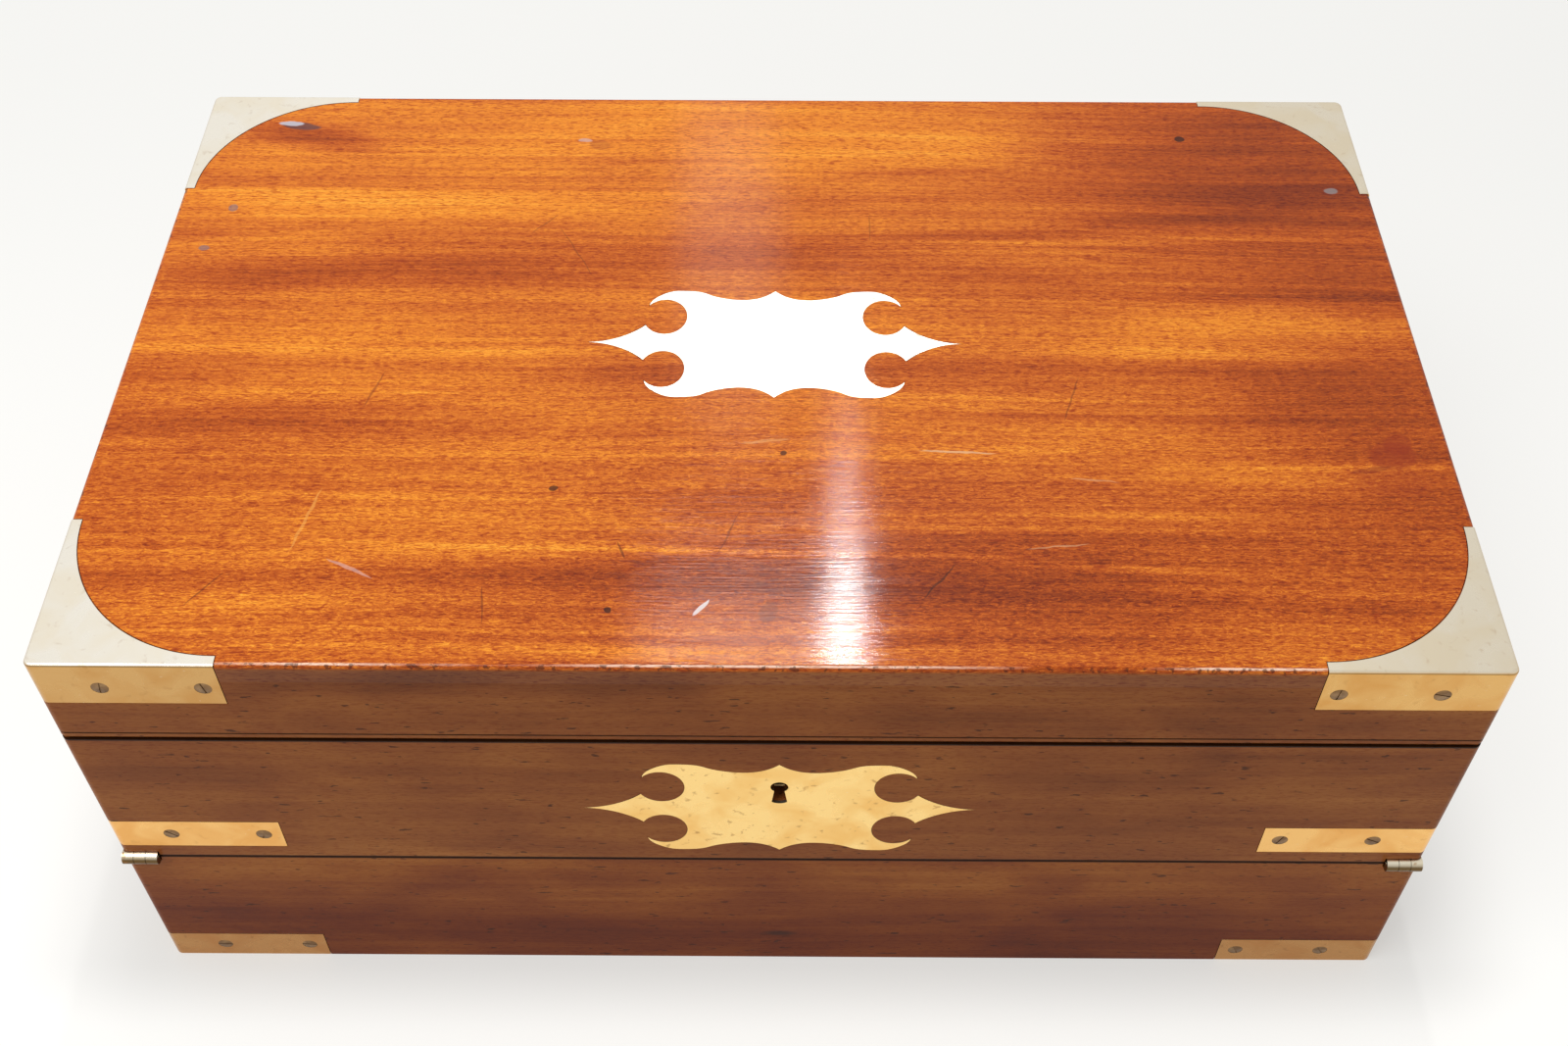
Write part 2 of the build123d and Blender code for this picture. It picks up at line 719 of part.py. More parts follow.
def flap_set(name, sign, back):
    """Writing flap, its leather and the ledges that carry it, above or below the cut."""
    lean = (flap_thick + ledge_size) * tan(pitch)
    low = up_slope(-inner_depth) + seat_clear + (lean if sign > 0 else 0.0)
    high = up_slope(back) - seat_clear - (lean if sign < 0 else 0.0)
    face = seam_plane(0, sign * seam_clear)
    under = seam_plane(0, sign * (seam_clear + flap_thick))
    width = 2 * (inner_width - seat_clear)
    leather_size = (width - 2 * flap_margin, high - low - 2 * flap_margin)
    with BuildPart() as flap:
        with BuildSketch(face):
            with Locations((0, low)):
                Rectangle(width, high - low, align=(Align.CENTER, Align.MIN))
        extrude(amount=sign * flap_thick)
        with BuildSketch(face):
            with Locations((0, low + flap_margin)):
                Rectangle(*leather_size, align=(Align.CENTER, Align.MIN))
        extrude(amount=sign * leather_thick, mode=Mode.SUBTRACT)
    finish(flap, f"{name}_flap")
    with BuildPart() as leather:
        with BuildSketch(face):
            with Locations((0, low + flap_margin)):
                Rectangle(*leather_size, align=(Align.CENTER, Align.MIN))
        extrude(amount=sign * leather_thick)
    finish(leather, f"{name}_leather")
    with BuildPart() as ledges:
        for side in (-1, 1):
            with BuildSketch(under):
                with Locations((side * (inner_width - ledge_size / 2), low)):
                    Rectangle(ledge_size, high - low, align=(Align.CENTER, Align.MIN))
            extrude(amount=sign * ledge_size)
        if sign < 0:
            for side in (-1, 1):
                x_range = sorted((side * (inner_width - ledge_size), side * inner_width))
                block(x_range, (standish_front, standish_back), (tray_level - ledge_size, tray_level))
    finish(ledges, f"{name}_ledges")


flap_set("base", -1, rear_front)
flap_set("slope", 1, rear_rail_front)

# ---------------------------------------------------------------- lock

lock_x = lock_offset
lock_back_y = -inner_depth
lock_front_y = lock_back_y - lock_depth
staple_y = lock_front_y + lock_sheet + staple_width / 2 + seat_clear
staple_foot = slope_top - staple_reach
eye_z = staple_foot + staple_thick + staple_eye / 2
staple_swing = staple_reach * (slope_turn / lid_turn) * fold_level / (back_hinge_y - fold_y)
slot_back = staple_y + staple_width / 2 + staple_swing + 3 * seat_clear
staple_spots = [lock_x - staple_spacing / 2, lock_x + staple_spacing / 2]

with BuildPart() as lock_case:
    outer_x = (lock_x - lock_width / 2, lock_x + lock_width / 2)
    block(outer_x, (lock_front_y, lock_back_y), (slope_top - lock_height, slope_top))
    selvedge_x = (lock_x - selvedge_width / 2, lock_x + selvedge_width / 2)
    block(selvedge_x, (lock_front_y, lock_back_y), (slope_top - selvedge_thick, slope_top))
    inner_x = (outer_x[0] + lock_sheet, outer_x[1] - lock_sheet)
    inner_y = (lock_front_y + lock_sheet, lock_back_y - lock_sheet)
    inner_z = (slope_top - lock_height + lock_sheet, slope_top - selvedge_thick)
    block(inner_x, inner_y, inner_z, mode=Mode.SUBTRACT)
    for spot in staple_spots:
        slot_x = (spot - staple_thick / 2 - seat_clear, spot + staple_thick / 2 + seat_clear)
        slot_y = (staple_y - staple_width / 2 - seat_clear, slot_back)
        block(slot_x, slot_y, (slope_top - selvedge_thick, slope_top), mode=Mode.SUBTRACT)
    with BuildSketch(front_plane(lock_x, keyhole_z, lock_front_y + half_depth)):
        keyhole(mode=Mode.ADD)
    extrude(amount=-lock_sheet, mode=Mode.SUBTRACT)
    with BuildSketch(front_plane(lock_x, keyhole_z, lock_back_y - lock_sheet + half_depth)):
        Circle(pin_radius)
    extrude(amount=lock_depth - 2 * lock_sheet)
finish(lock_case, "lock_case")

bolt_y = (staple_y - bolt_thick / 2, staple_y + bolt_thick / 2)
bolt_bar_top = staple_foot - seat_clear
bolt_bar_low = bolt_bar_top - bolt_bar_height
bolt_nose = (eye_z - bolt_thick / 2, eye_z + bolt_thick / 2)
nose_tip = -staple_thick / 2 - seat_clear
post_right = nose_tip - bolt_travel
post_left = post_right - bolt_travel

with BuildPart() as lock_bolt:
    bar_x = (staple_spots[0] + post_left, staple_spots[1] + post_right)
    block(bar_x, bolt_y, (bolt_bar_low, bolt_bar_top))
    for spot in staple_spots:
        block((spot + post_left, spot + post_right), bolt_y, (bolt_bar_top, bolt_nose[1]))
        block((spot + post_right, spot + nose_tip), bolt_y, bolt_nose)
finish(lock_bolt, "lock_bolt")

with BuildPart() as link_plate:
    plate_x = (lock_x - selvedge_width / 2, lock_x + selvedge_width / 2)
    block(plate_x, (lock_front_y, lock_back_y), (lid_bottom, lid_bottom + selvedge_thick))
    for spot in staple_spots:
        staple_x = (spot - staple_thick / 2, spot + staple_thick / 2)
        staple_depth = (staple_y - staple_width / 2, staple_y + staple_width / 2)
        block(staple_x, staple_depth, (staple_foot, lid_bottom))
        with BuildSketch(Plane.YZ.offset(spot - staple_thick)):
            with Locations((staple_y, eye_z)):
                Rectangle(staple_eye, staple_eye)
        extrude(amount=2 * staple_thick, mode=Mode.SUBTRACT)
finish(link_plate, "link_plate")

# ---------------------------------------------------------------- lid

with BuildPart() as lid_panel:
    add(case_form(rail_top, case_height, worn_round))
    with BuildSketch(Plane.XY.offset(case_height)):
        ornamental_plate(plate_gap)
    extrude(amount=-leaf_thick, mode=Mode.SUBTRACT)
    let_in(bracket_recesses, lid_screw_planes)
finish(lid_panel, "lid_panel")


def quirk_lower_edge(board, end):
    """Small bevel along the lower outer edge, which makes a line above the lipping."""
    lower = board.edges().filter_by(Axis.X).group_by(Axis.Z)[0].group_by(Axis.Y)[end]
    chamfer(lower, quirk)


for place, end in (("front", -1), ("back", 1)):
    with BuildPart() as lid_rail:
        y_range = sorted((end * inner_depth, end * half_depth))
        block((-half_width, half_width), y_range, (rail_bottom, rail_top))
        quirk_lower_edge(lid_rail, 0 if end < 0 else -1)
        round_outer_corners(lid_rail, 0 if end < 0 else -1)
        let_in(bracket_recesses, lid_screw_planes)
        if end > 0:
            cut_back_hinges(upper=True)
    finish(lid_rail, f"lid_{place}_rail")

for hand, side in (("left", -1), ("right", 1)):
    with BuildPart() as lid_side_rail:
        x_range = sorted((side * inner_width, side * half_width))
        block(x_range, (-inner_depth, inner_depth), (rail_bottom, rail_top))
        outer = lid_side_rail.edges().filter_by(Axis.Y).group_by(Axis.Z)[0]
        chamfer(outer.sort_by(Axis.X)[0 if side < 0 else -1], quirk)
        let_in(bracket_recesses, lid_screw_planes)
    finish(lid_side_rail, f"lid_{hand}_rail")

with BuildPart() as lid_lipping:
    with BuildSketch(Plane.XY.offset(lid_bottom)):
        RectangleRounded(case_width, case_depth, corner_round)
        Rectangle(2 * inner_width, 2 * inner_depth, mode=Mode.SUBTRACT)
    extrude(amount=lipping_thick)
    cut_back_hinges(upper=True)
    plate_reach = selvedge_width / 2 + groove_fit
    plate_x = (lock_x - plate_reach, lock_x + plate_reach)
    plate_y = (lock_front_y - groove_fit, lock_back_y)
    block(plate_x, plate_y, (lid_bottom, lid_bottom + selvedge_thick), mode=Mode.SUBTRACT)
finish(lid_lipping, "lid_lipping")

with BuildPart() as lid_lining:
    lining_x = inner_width - seat_clear
    lining_y = inner_depth - seat_clear
    block((-lining_x, lining_x), (-lining_y, lining_y), (rail_top - lining_thick, rail_top))
finish(lid_lining, "lid_lining")

# ---------------------------------------------------------------- carrying handles

pivot_x = half_width - bail_radius - seat_clear
pivot_z = handle_level + bail_pivot_rise

for hand, side in (("left", -1), ("right", 1)):
    with BuildPart() as handle_plate:
        with BuildSketch(side_plane(side, 0, handle_level)):
            RectangleRounded(handle_plate_length, handle_plate_height, handle_plate_corner)
        extrude(amount=-handle_plate_thick)
        with BuildSketch(side_plane(side, 0, handle_level)):
            Rectangle(dish_length + 2 * dish_sheet, dish_height + 2 * dish_sheet)
        extrude(amount=-(dish_depth + dish_sheet))
        with BuildSketch(side_plane(side, 0, handle_level)):
            Rectangle(dish_length, dish_height)
        extrude(amount=-dish_depth, mode=Mode.SUBTRACT)
        with BuildSketch(Plane.XZ.offset(-dish_length / 2 - dish_sheet / 2)):
            with Locations((side * pivot_x, pivot_z)):
                Circle(bail_pin_radius + pin_fit)
        extrude(amount=dish_length + dish_sheet, mode=Mode.SUBTRACT)
        screws(base_screw_planes, fit=screw_fit, mode=Mode.SUBTRACT)
    finish(handle_plate, f"handle_plate_{hand}")

    with BuildPart() as bail:
        half_length = bail_length / 2
        foot = pivot_z - bail_drop
        with BuildLine(Plane.YZ.offset(side * pivot_x)):
            FilletPolyline(
                (-half_length, pivot_z), (-half_length, foot), (half_length, foot), (half_length, pivot_z),
                radius=bail_bend,
            )
        with BuildSketch(Plane(origin=(side * pivot_x, -half_length, pivot_z), z_dir=(0, 0, -1))):
            Circle(bail_radius)
        sweep()
        boss_end = dish_length / 2 - seat_clear
        pin_end = dish_length / 2 + dish_sheet / 2 - groove_fit
        for place in (-1, 1):
            start = Plane(
                origin=(side * pivot_x, place * (half_length - bail_radius), pivot_z), z_dir=(0, place, 0)
            )
            with BuildSketch(start):
                Circle(bail_radius)
            extrude(amount=boss_end - half_length + bail_radius)
            with BuildSketch(start):
                Circle(bail_pin_radius)
            extrude(amount=pin_end - half_length + bail_radius)
    finish(bail, f"handle_bail_{hand}")

# ---------------------------------------------------------------- standish and stationery rack

tray_top = tray_level + tray_floor_thick
bay_x = inner_width - bottle_bay

with BuildPart() as tray_floor:
    y_range = (standish_front + groove_fit, standish_back - groove_fit)
    block((-compartment_half, compartment_half), y_range, (tray_level, tray_top))
finish(tray_floor, "standish_floor")

with BuildPart() as pen_tray:
    tray_half = bay_x - divider_thick - seat_clear
    y_range = (standish_front + seat_clear, standish_back - seat_clear)
    block((-tray_half, tray_half), y_range, (tray_top, tray_top + pen_tray_height))
    groove_half = tray_half - divider_thick
    centre_z = tray_top + pen_tray_height + pen_groove_radius - pen_groove_depth
    with BuildSketch(Plane.YZ.offset(-groove_half)):
        with Locations(((standish_front + standish_back) / 2, centre_z)):
            Circle(pen_groove_radius)
    extrude(amount=2 * groove_half, mode=Mode.SUBTRACT)
finish(pen_tray, "pen_tray")

bottle_x = inner_width - bottle_bay / 2
bottle_y = (standish_front + standish_back) / 2
neck_low = tray_top + bottle_body_height

with BuildPart() as ink_bottles:
    for side in (-1, 1):
        with BuildSketch(Plane.XY.offset(tray_top)):
            with Locations((side * bottle_x, bottle_y)):
                RectangleRounded(bottle_side, bottle_side, bottle_corner)
        extrude(amount=bottle_body_height)
        with BuildSketch(Plane.XY.offset(neck_low)):
            with Locations((side * bottle_x, bottle_y)):
                Circle(bottle_neck_radius)
        extrude(amount=bottle_neck_height)
        with BuildSketch(Plane.XY.offset(tray_top + bottle_floor)):
            with Locations((side * bottle_x, bottle_y)):
                Circle(bottle_bore_radius)
        extrude(amount=bottle_body_height + bottle_neck_height, mode=Mode.SUBTRACT)
finish(ink_bottles, "ink_bottles")

with BuildPart() as ink_caps:
    for side in (-1, 1):
        with BuildSketch(Plane.XY.offset(neck_low)):
            with Locations((side * bottle_x, bottle_y)):
                Circle(cap_radius)
        extrude(amount=cap_height)
    fillet(ink_caps.faces().filter_by(Axis.Z).group_by(Axis.Z)[-1].edges(), cap_round)
    for side in (-1, 1):
        with BuildSketch(Plane.XY.offset(neck_low)):
            with Locations((side * bottle_x, bottle_y)):
                Circle(bottle_neck_radius + groove_fit)
        extrude(amount=cap_height - cap_sheet, mode=Mode.SUBTRACT)
finish(ink_caps, "ink_caps")

rack_depth = inner_depth - standish_back - divider_thick - rack_least_bay
rack_pitch = rack_bay + divider_thick
rack_count = 1 + int(rack_depth / rack_pitch)

with BuildPart() as dividers:
    for side in (-1, 1):
        x_range = sorted((side * bay_x, side * (bay_x - divider_thick)))
        y_range = (standish_front + groove_fit, standish_back - groove_fit)
        block(x_range, y_range, (tray_top, tray_top + bay_divider_height))
    for step in range(rack_count):
        front = standish_back + step * rack_pitch
        top = tray_top + rack_first_rise + step * rack_step
        y_range = (front, front + divider_thick)
        block((-compartment_half, compartment_half), y_range, (floor_top, top))
finish(dividers, "dividers")
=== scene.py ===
import math
import random

import bpy
from mathutils import Matrix, Vector


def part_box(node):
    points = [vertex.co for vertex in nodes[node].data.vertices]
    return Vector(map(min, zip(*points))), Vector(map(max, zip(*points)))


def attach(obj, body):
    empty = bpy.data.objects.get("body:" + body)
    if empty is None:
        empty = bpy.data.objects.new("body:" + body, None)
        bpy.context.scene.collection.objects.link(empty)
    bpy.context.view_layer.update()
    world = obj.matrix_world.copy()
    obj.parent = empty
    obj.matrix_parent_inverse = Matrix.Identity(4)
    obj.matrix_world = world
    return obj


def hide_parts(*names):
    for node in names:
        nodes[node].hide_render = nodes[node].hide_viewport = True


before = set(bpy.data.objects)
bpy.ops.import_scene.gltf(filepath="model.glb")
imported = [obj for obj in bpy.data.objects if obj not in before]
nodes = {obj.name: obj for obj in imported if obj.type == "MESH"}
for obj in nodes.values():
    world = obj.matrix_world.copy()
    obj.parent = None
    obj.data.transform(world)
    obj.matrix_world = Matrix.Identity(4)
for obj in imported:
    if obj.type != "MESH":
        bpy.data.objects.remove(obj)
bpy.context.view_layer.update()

random.seed(11)
print("frame loaded,", len(nodes), "nodes")


def mm(*values):  # metres from millimetres
    scaled = [v / 1000 for v in values]
    return scaled[0] if len(scaled) == 1 else tuple(scaled)


def linear(hexColour):  # sRGB hex to the linear RGBA that the sockets take
    channels = [int(hexColour[i:i + 2], 16) / 255 for i in (1, 3, 5)]
    return tuple(c / 12.92 if c <= 0.04045 else ((c + 0.055) / 1.055) ** 2.4 for c in channels) + (1.0,)


def addNode(tree, kind, inputs=None, stops=(), **settings):  # a node with its settings, colours and links
    made = tree.nodes.new("ShaderNode" + kind)
    for name, value in settings.items():
        setattr(made, name, value)
    for name, value in (inputs or {}).items():
        named = [s for s in made.inputs if s.enabled and s.name == name]
        socket = made.inputs[name] if isinstance(name, int) else named[0]
        if isinstance(value, bpy.types.Node):
            value = [s for s in value.outputs if s.enabled][0]
        if isinstance(value, bpy.types.NodeSocket):
            tree.links.new(value, socket)
        else:
            socket.default_value = linear(value) if isinstance(value, str) else value
    for i, (place, colour) in enumerate(stops):
        element = made.color_ramp.elements[i] if i < 2 else made.color_ramp.elements.new(place)
        element.position = place
        element.color = linear(colour)
    return made


def startMaterial(name):
    material = bpy.data.materials.new(name)
    material.use_nodes = True
    tree = material.node_tree
    tree.nodes.clear()
    return material, tree, addNode(tree, "TexCoord").outputs["Object"]


def endMaterial(tree, inputs):
    shader = addNode(tree, "BsdfPrincipled", inputs)
    addNode(tree, "OutputMaterial", {"Surface": shader})


def perMm(*sizes):  # a Mapping scale that makes one unit of pattern per size in mm
    return tuple(1000 / size for size in sizes)


caseHalf = (254.0, 158.5)  # half the width and depth of the case, in mm
caseHeight = 208

# ---- wood

grainTurns = {"x": (0, 0, 0), "y": (0, 0, math.pi / 2)}  # the way that the grain runs

# each layer of the figure: length along the grain and width in mm, weight, detail, roughness, distortion
lidCut = {
    "ribbon": (420, 24, 0.46, 1.5, 0.5, 0.4),  # broad soft stripes of interlocked grain
    "band": (320, 6, 0.50, 2.0, 0.55, 0.3),
    "line": (200, 1.2, 0.44, 2.0, 0.6, 0.1),
    "fleck": (3.6, 1.3, 1.30, 3.0, 0.7, 1.8),  # short and curled
    "ripple": (2.0, 16, 0.11, 2.0, 0.5, 0.3),  # faint cross ripples
    "cloud": (110, 45, 0.36, 2.0, 0.5, 0.6),
}
boardCut = {
    "ribbon": (300, 22, 0.46, 1.5, 0.5, 0.4),
    "band": (180, 5, 0.36, 2.0, 0.55, 0.3),
    "line": (60, 1.2, 0.20, 2.0, 0.6, 0.1),
    "fleck": (9.0, 1.6, 0.14, 3.0, 0.7, 1.0),
    "cloud": (70, 35, 0.80, 2.0, 0.5, 0.6),
}
figureMiddle = 0.52  # the figure starts here, between 0 for the darkest tone and 1 for the lightest
wander = {"size": (320, 110, 110), "reach": (0, 8, 8)}  # how long a stripe's waves are and how far it strays
fleckFade = {"y": (-130, 90), "share": (1.05, 0.42)}  # plain at the lid's front, fainter to the back
poreSize = (3.2, 0.6, 0.6)
scuffSize = (45, 0.6, 0.6)  # hairlines that rubbing along the grain has left in the polish
nickSize = (7.0, 1.9, 1.9)  # old knocks that have gone dark

# tones from dark to light: place on the figure's scale, colour
lidTones = [
    (0.02, "#7E2E06"), (0.25, "#A3460A"), (0.42, "#BD5712"),
    (0.58, "#D3701E"), (0.76, "#EB8C24"), (0.98, "#FCAC38"),
]
sideTones = [
    (0.05, "#6E3816"), (0.30, "#8C4B20"), (0.46, "#A15B2A"),
    (0.60, "#AE6831"), (0.78, "#BC763A"), (0.98, "#CA8447"),
]
baseTones = [
    (0.05, "#642206"), (0.30, "#80360D"), (0.46, "#924716"),
    (0.60, "#A1551E"), (0.78, "#B4692A"), (0.98, "#C47C3A"),
]

# soft bands along the lid: x, y, half length, half width (mm), turn (degrees), lighter or darker. The broad
# rows, with a half width of 40 mm and more, are painted light and shade: lighter toward the back and the
# left, darker toward the right and the front.
lidBands = [
    (-120, 46, 175, 14, 2, -0.25), (-214, 34, 70, 9, 3, -0.10), (14, 50, 60, 12, 0, -0.16),
    (-161, 84, 140, 16, 2, 0.16), (-222, 60, 70, 5, 5, 0.16), (96, 128, 130, 24, 5, 0.10),
    (205, 11, 90, 20, 0, 0.36), (156, 74, 130, 6, 6, -0.14), (56, 106, 60, 4, 4, -0.14),
    (125, 61, 110, 4, 2, 0.22), (-111, 29, 130, 5, 0, 0.16), (179, -6, 80, 6, -2, 0.20),
    (179, -34, 110, 12, 0, -0.03), (-171, -42, 100, 14, 0, -0.13), (-20, -60, 230, 3, 0, 0.16),
    (-54, -106, 150, 3, -1, 0.20), (129, -114, 110, 3, -4, 0.16), (-30, -82, 80, 12, 0, -0.14),
    (80, -127, 170, 12, -3, -0.22), (-4, -151, 210, 5, 0, 0.20), (210, -133, 50, 8, 3, -0.22),
    (-207, 130, 46, 12, -12, -0.36), (-160, 112, 190, 72, 0, 0.22), (20, 140, 130, 45, 0, 0.20),
    (212, 106, 126, 70, 0, -0.36), (240, -20, 100, 160, 0, -0.22), (50, -124, 220, 44, 0, -0.22),
    (-200, -118, 90, 40, 0, 0.05), (-40, 10, 200, 40, 0, 0.02), (-60, 84, 200, 44, 0, 0.06),
    (190, -70, 70, 24, 0, 0.20), (-70, 159, 170, 5, 0, -0.28),
]

# wear on the lid: x, y, half length, half width (mm), turn (degrees), colour, strength
lidMarks = [
    (177.7, 130.4, 2.2, 2.0, 0, "#2A1009", 0.85),
    (-80.5, -77.2, 1.5, 1.4, 0, "#2A1009", 0.80),
    (3.6, -59.0, 1.3, 1.2, 0, "#2A1009", 0.80),
    (-56.8, -133.4, 1.3, 1.2, 0, "#2A1009", 0.85),
    (-211.5, 136.6, 8.5, 2.4, -8, "#4A3A40", 0.75),
    (-216.0, 138.4, 5.5, 1.5, -4, "#C2BEC8", 0.85),
    (237.6, 95.2, 3.0, 2.0, 0, "#8D8786", 0.70),
    (-230.4, 80.5, 2.0, 2.2, 0, "#6B6A72", 0.60),
    (-237.4, 54.7, 2.2, 1.6, 0, "#6B6A72", 0.60),
    (-78.0, 124.5, 4.5, 3.5, -12, "#A8501C", 0.45),
    (-84.5, 127.4, 3.2, 1.2, -4, "#C9A8A0", 0.65),
    (-24.5, -132.3, 4.2, 0.8, 52, "#E4D8D2", 0.85),
    (-3.0, -53.0, 9.0, 0.7, 8, "#E0A060", 0.45),
    (69.0, -58.0, 14.0, 0.5, -2, "#E3B98C", 0.65),
    (118.7, -71.9, 8.5, 0.4, -6, "#E3B98C", 0.32),
    (102.4, -103.7, 11.0, 0.4, 6, "#E3B98C", 0.32),
    (-149.6, -115.6, 9.5, 0.6, -26, "#D5A79A", 0.55),
    (59.2, -119.9, 9.5, 0.45, 52, "#3A180D", 0.65),
    (-1.0, -134.0, 3.2, 4.6, -20, "#7A3414", 0.55),
    (231.5, -59.0, 9.0, 6.8, 8, "#93300F", 0.55),
    (234.5, -53.0, 5.0, 5.5, -30, "#93300F", 0.50),
    (229.0, -72.5, 13.5, 7.0, 0, "#93300F", 0.25),
    (222.0, -66.0, 8.0, 1.3, 12, "#7A2410", 0.45),
    (-199.0, -124.8, 9.0, 0.35, 55, "#5A2410", 0.55),
    (-100.7, -131.5, 8.0, 0.35, 97, "#5A2410", 0.50),
    (-154.0, -26.5, 10.0, 0.5, 75, "#7A2A10", 0.50),
    (114.3, -29.8, 12.0, 0.4, 72, "#6A2A10", 0.50),
    (-82.3, 53.5, 17.0, 0.35, -62, "#7A3A14", 0.50),
    (-97.3, 71.0, 8.0, 0.35, 50, "#7A3A14", 0.50),
    (-15.7, -98.2, 10.0, 0.35, 70, "#5A2410", 0.50),
    (-54.0, -106.5, 4.0, 0.45, 110, "#4A1A0C", 0.60),
    (39.3, 70.2, 8.0, 0.35, 88, "#7A3A14", 0.45),
    (-169.0, -93.0, 15.0, 0.6, 78, "#F0A850", 0.45),
]
spotDepth = 20  # mm that a band or a mark reaches into the wood
spotEdge = 1.15  # where it has faded out, as a share of its radius


# An ellipse on the lid's top face: it has its full strength, the last value of the row, up to the
# share inner of its radius, and fades out softly a little past its edge.
def onLid(tree, place, spot, inner):
    x, y, halfLength, halfWidth, turn = spot[:5]
    local = addNode(tree, "Mapping", {
        "Vector": place, "Location": mm(x, y, caseHeight), "Rotation": (0, 0, math.radians(turn)),
        "Scale": mm(halfLength, halfWidth, spotDepth),
    }, vector_type="TEXTURE")
    reach = addNode(tree, "VectorMath", {0: local}, operation="LENGTH")
    return addNode(tree, "MapRange", {
        "Value": reach, "From Min": inner, "From Max": spotEdge, "To Min": spot[-1], "To Max": 0.0,
    }, interpolation_type="SMOOTHSTEP")


# The figure of a board, as a value from dark to light, and its layers one by one. The shift is where
# in the log the board was cut, so that no two boards match.
def woodFigure(tree, place, grain, shift, layersCut, bands=()):
    board = addNode(tree, "Mapping", {"Vector": place, "Rotation": grainTurns[grain], "Location": shift})
    stray = addNode(tree, "Mapping", {"Vector": board, "Scale": perMm(*wander["size"])})
    stray = addNode(tree, "TexNoise", {"Vector": stray, "Scale": 1.0, "Detail": 1.5}).outputs["Color"]
    stray = addNode(tree, "VectorMath", {0: stray, 1: (0.5, 0.5, 0.5)}, operation="SUBTRACT")
    reach = mm(*(2 * r for r in wander["reach"]))
    stray = addNode(tree, "VectorMath", {0: stray, 1: reach}, operation="MULTIPLY")
    board = addNode(tree, "VectorMath", {0: board, 1: stray})
    figure, layers = figureMiddle, {}
    if bands:
        depth = addNode(tree, "SeparateXYZ", {0: place}).outputs["Y"]
        fleckShare = addNode(tree, "MapRange", {
            "Value": depth, "From Min": mm(fleckFade["y"][0]), "From Max": mm(fleckFade["y"][1]),
            "To Min": fleckFade["share"][0], "To Max": fleckFade["share"][1],
        })
    for name, (length, width, weight, detail, roughness, distortion) in layersCut.items():
        cut = addNode(tree, "Mapping", {"Vector": board, "Scale": perMm(length, width, width)})
        layers[name] = addNode(tree, "TexNoise", {
            "Vector": cut, "Scale": 1.0, "Detail": detail, "Roughness": roughness, "Distortion": distortion,
        })
        swing = addNode(tree, "Math", {0: layers[name], 1: 0.5}, operation="SUBTRACT")
        if bands and name == "fleck":
            swing = addNode(tree, "Math", {0: swing, 1: fleckShare}, operation="MULTIPLY")
        figure = addNode(tree, "Math", {0: swing, 1: weight, 2: figure}, operation="MULTIPLY_ADD")
    for band in bands:
        figure = addNode(tree, "Math", {0: figure, 1: onLid(tree, place, band, 0.0)})
    cut = addNode(tree, "Mapping", {"Vector": board, "Scale": perMm(*poreSize)})
    pores = addNode(tree, "TexNoise", {"Vector": cut, "Scale": 1.0, "Detail": 1.5, "Distortion": 0.5})
    layers["pores"] = addNode(tree, "MapRange", {"Value": pores, "From Min": 0.34, "From Max": 0.50})
    scuff = addNode(tree, "Mapping", {"Vector": board, "Scale": perMm(*scuffSize)})
    layers["scuffs"] = addNode(tree, "TexNoise", {"Vector": scuff, "Scale": 1.0, "Detail": 2.0})
    nick = addNode(tree, "Mapping", {"Vector": board, "Scale": perMm(*nickSize)})
    nick = addNode(tree, "TexNoise", {"Vector": nick, "Scale": 1.0, "Detail": 2.0, "Roughness": 0.6})
    layers["nicks"] = addNode(tree, "MapRange", {
        "Value": nick, "From Min": 0.66, "From Max": 0.70, "To Max": 0.72,
    })
    return figure, layers


# the slanted line of painted shade rises up each side from the front hinges to the back corners, in mm
slantRise, slantRun = 83.55, 317.3
hingeAway, hingeLevel = 158.8, 81.5
slant = math.atan2(slantRise, slantRun)
slantNormal = (0, -math.sin(slant), math.cos(slant))
slantAway = hingeAway * math.sin(slant) + hingeLevel * math.cos(slant)

# painted shade: a near-black line along each seam, under the lid and along the slant
seamShade = {
    "colour": "#140A06", "share": 0.93, "depth": 1.2, "fade": 0.5,  # depth and fade in mm
    "planes": [  # normal, distance and half width (mm)
        ((0, 0, 1), 163.7, 1.1),  # under the lid
        ((0, 0, 1), 167.35, 0.1),  # above the lid's lipping
        (slantNormal, slantAway, 0.65),
    ],
}


# Painted shade along the seams, a near-black line, on the outside only, so that the faces inside stay
# unmarked.
def darkenSeams(tree, place, colour):
    outline = addNode(tree, "VectorMath", {0: place}, operation="ABSOLUTE")
    skin = mm(caseHalf[0] - seamShade["depth"], caseHalf[1] - seamShade["depth"], 0)
    outline = addNode(tree, "VectorMath", {0: outline, 1: skin}, operation="SUBTRACT")
    outline = addNode(tree, "SeparateXYZ", {0: outline})
    outer = addNode(tree, "Math", {0: outline.outputs["X"], 1: outline.outputs["Y"]}, operation="MAXIMUM")
    outer = addNode(tree, "Math", {0: outer, 1: 0.0}, operation="GREATER_THAN")
    for normal, away, reach in seamShade["planes"]:
        level = addNode(tree, "VectorMath", {0: place, 1: normal}, operation="DOT_PRODUCT")
        off = addNode(tree, "Math", {0: level, 1: mm(away)}, operation="SUBTRACT")
        off = addNode(tree, "Math", {0: off}, operation="ABSOLUTE")
        dirtAndShade = addNode(tree, "MapRange", {
            "Value": off, "From Min": mm(reach), "From Max": mm(reach + seamShade["fade"]),
            "To Min": seamShade["share"], "To Max": 0.0,
        })
        dirtAndShade = addNode(tree, "Math", {0: dirtAndShade, 1: outer}, operation="MULTIPLY")
        shaded = {"Factor": dirtAndShade, "A": colour, "B": seamShade["colour"]}
        colour = addNode(tree, "Mix", shaded, data_type="RGBA")
    return colour


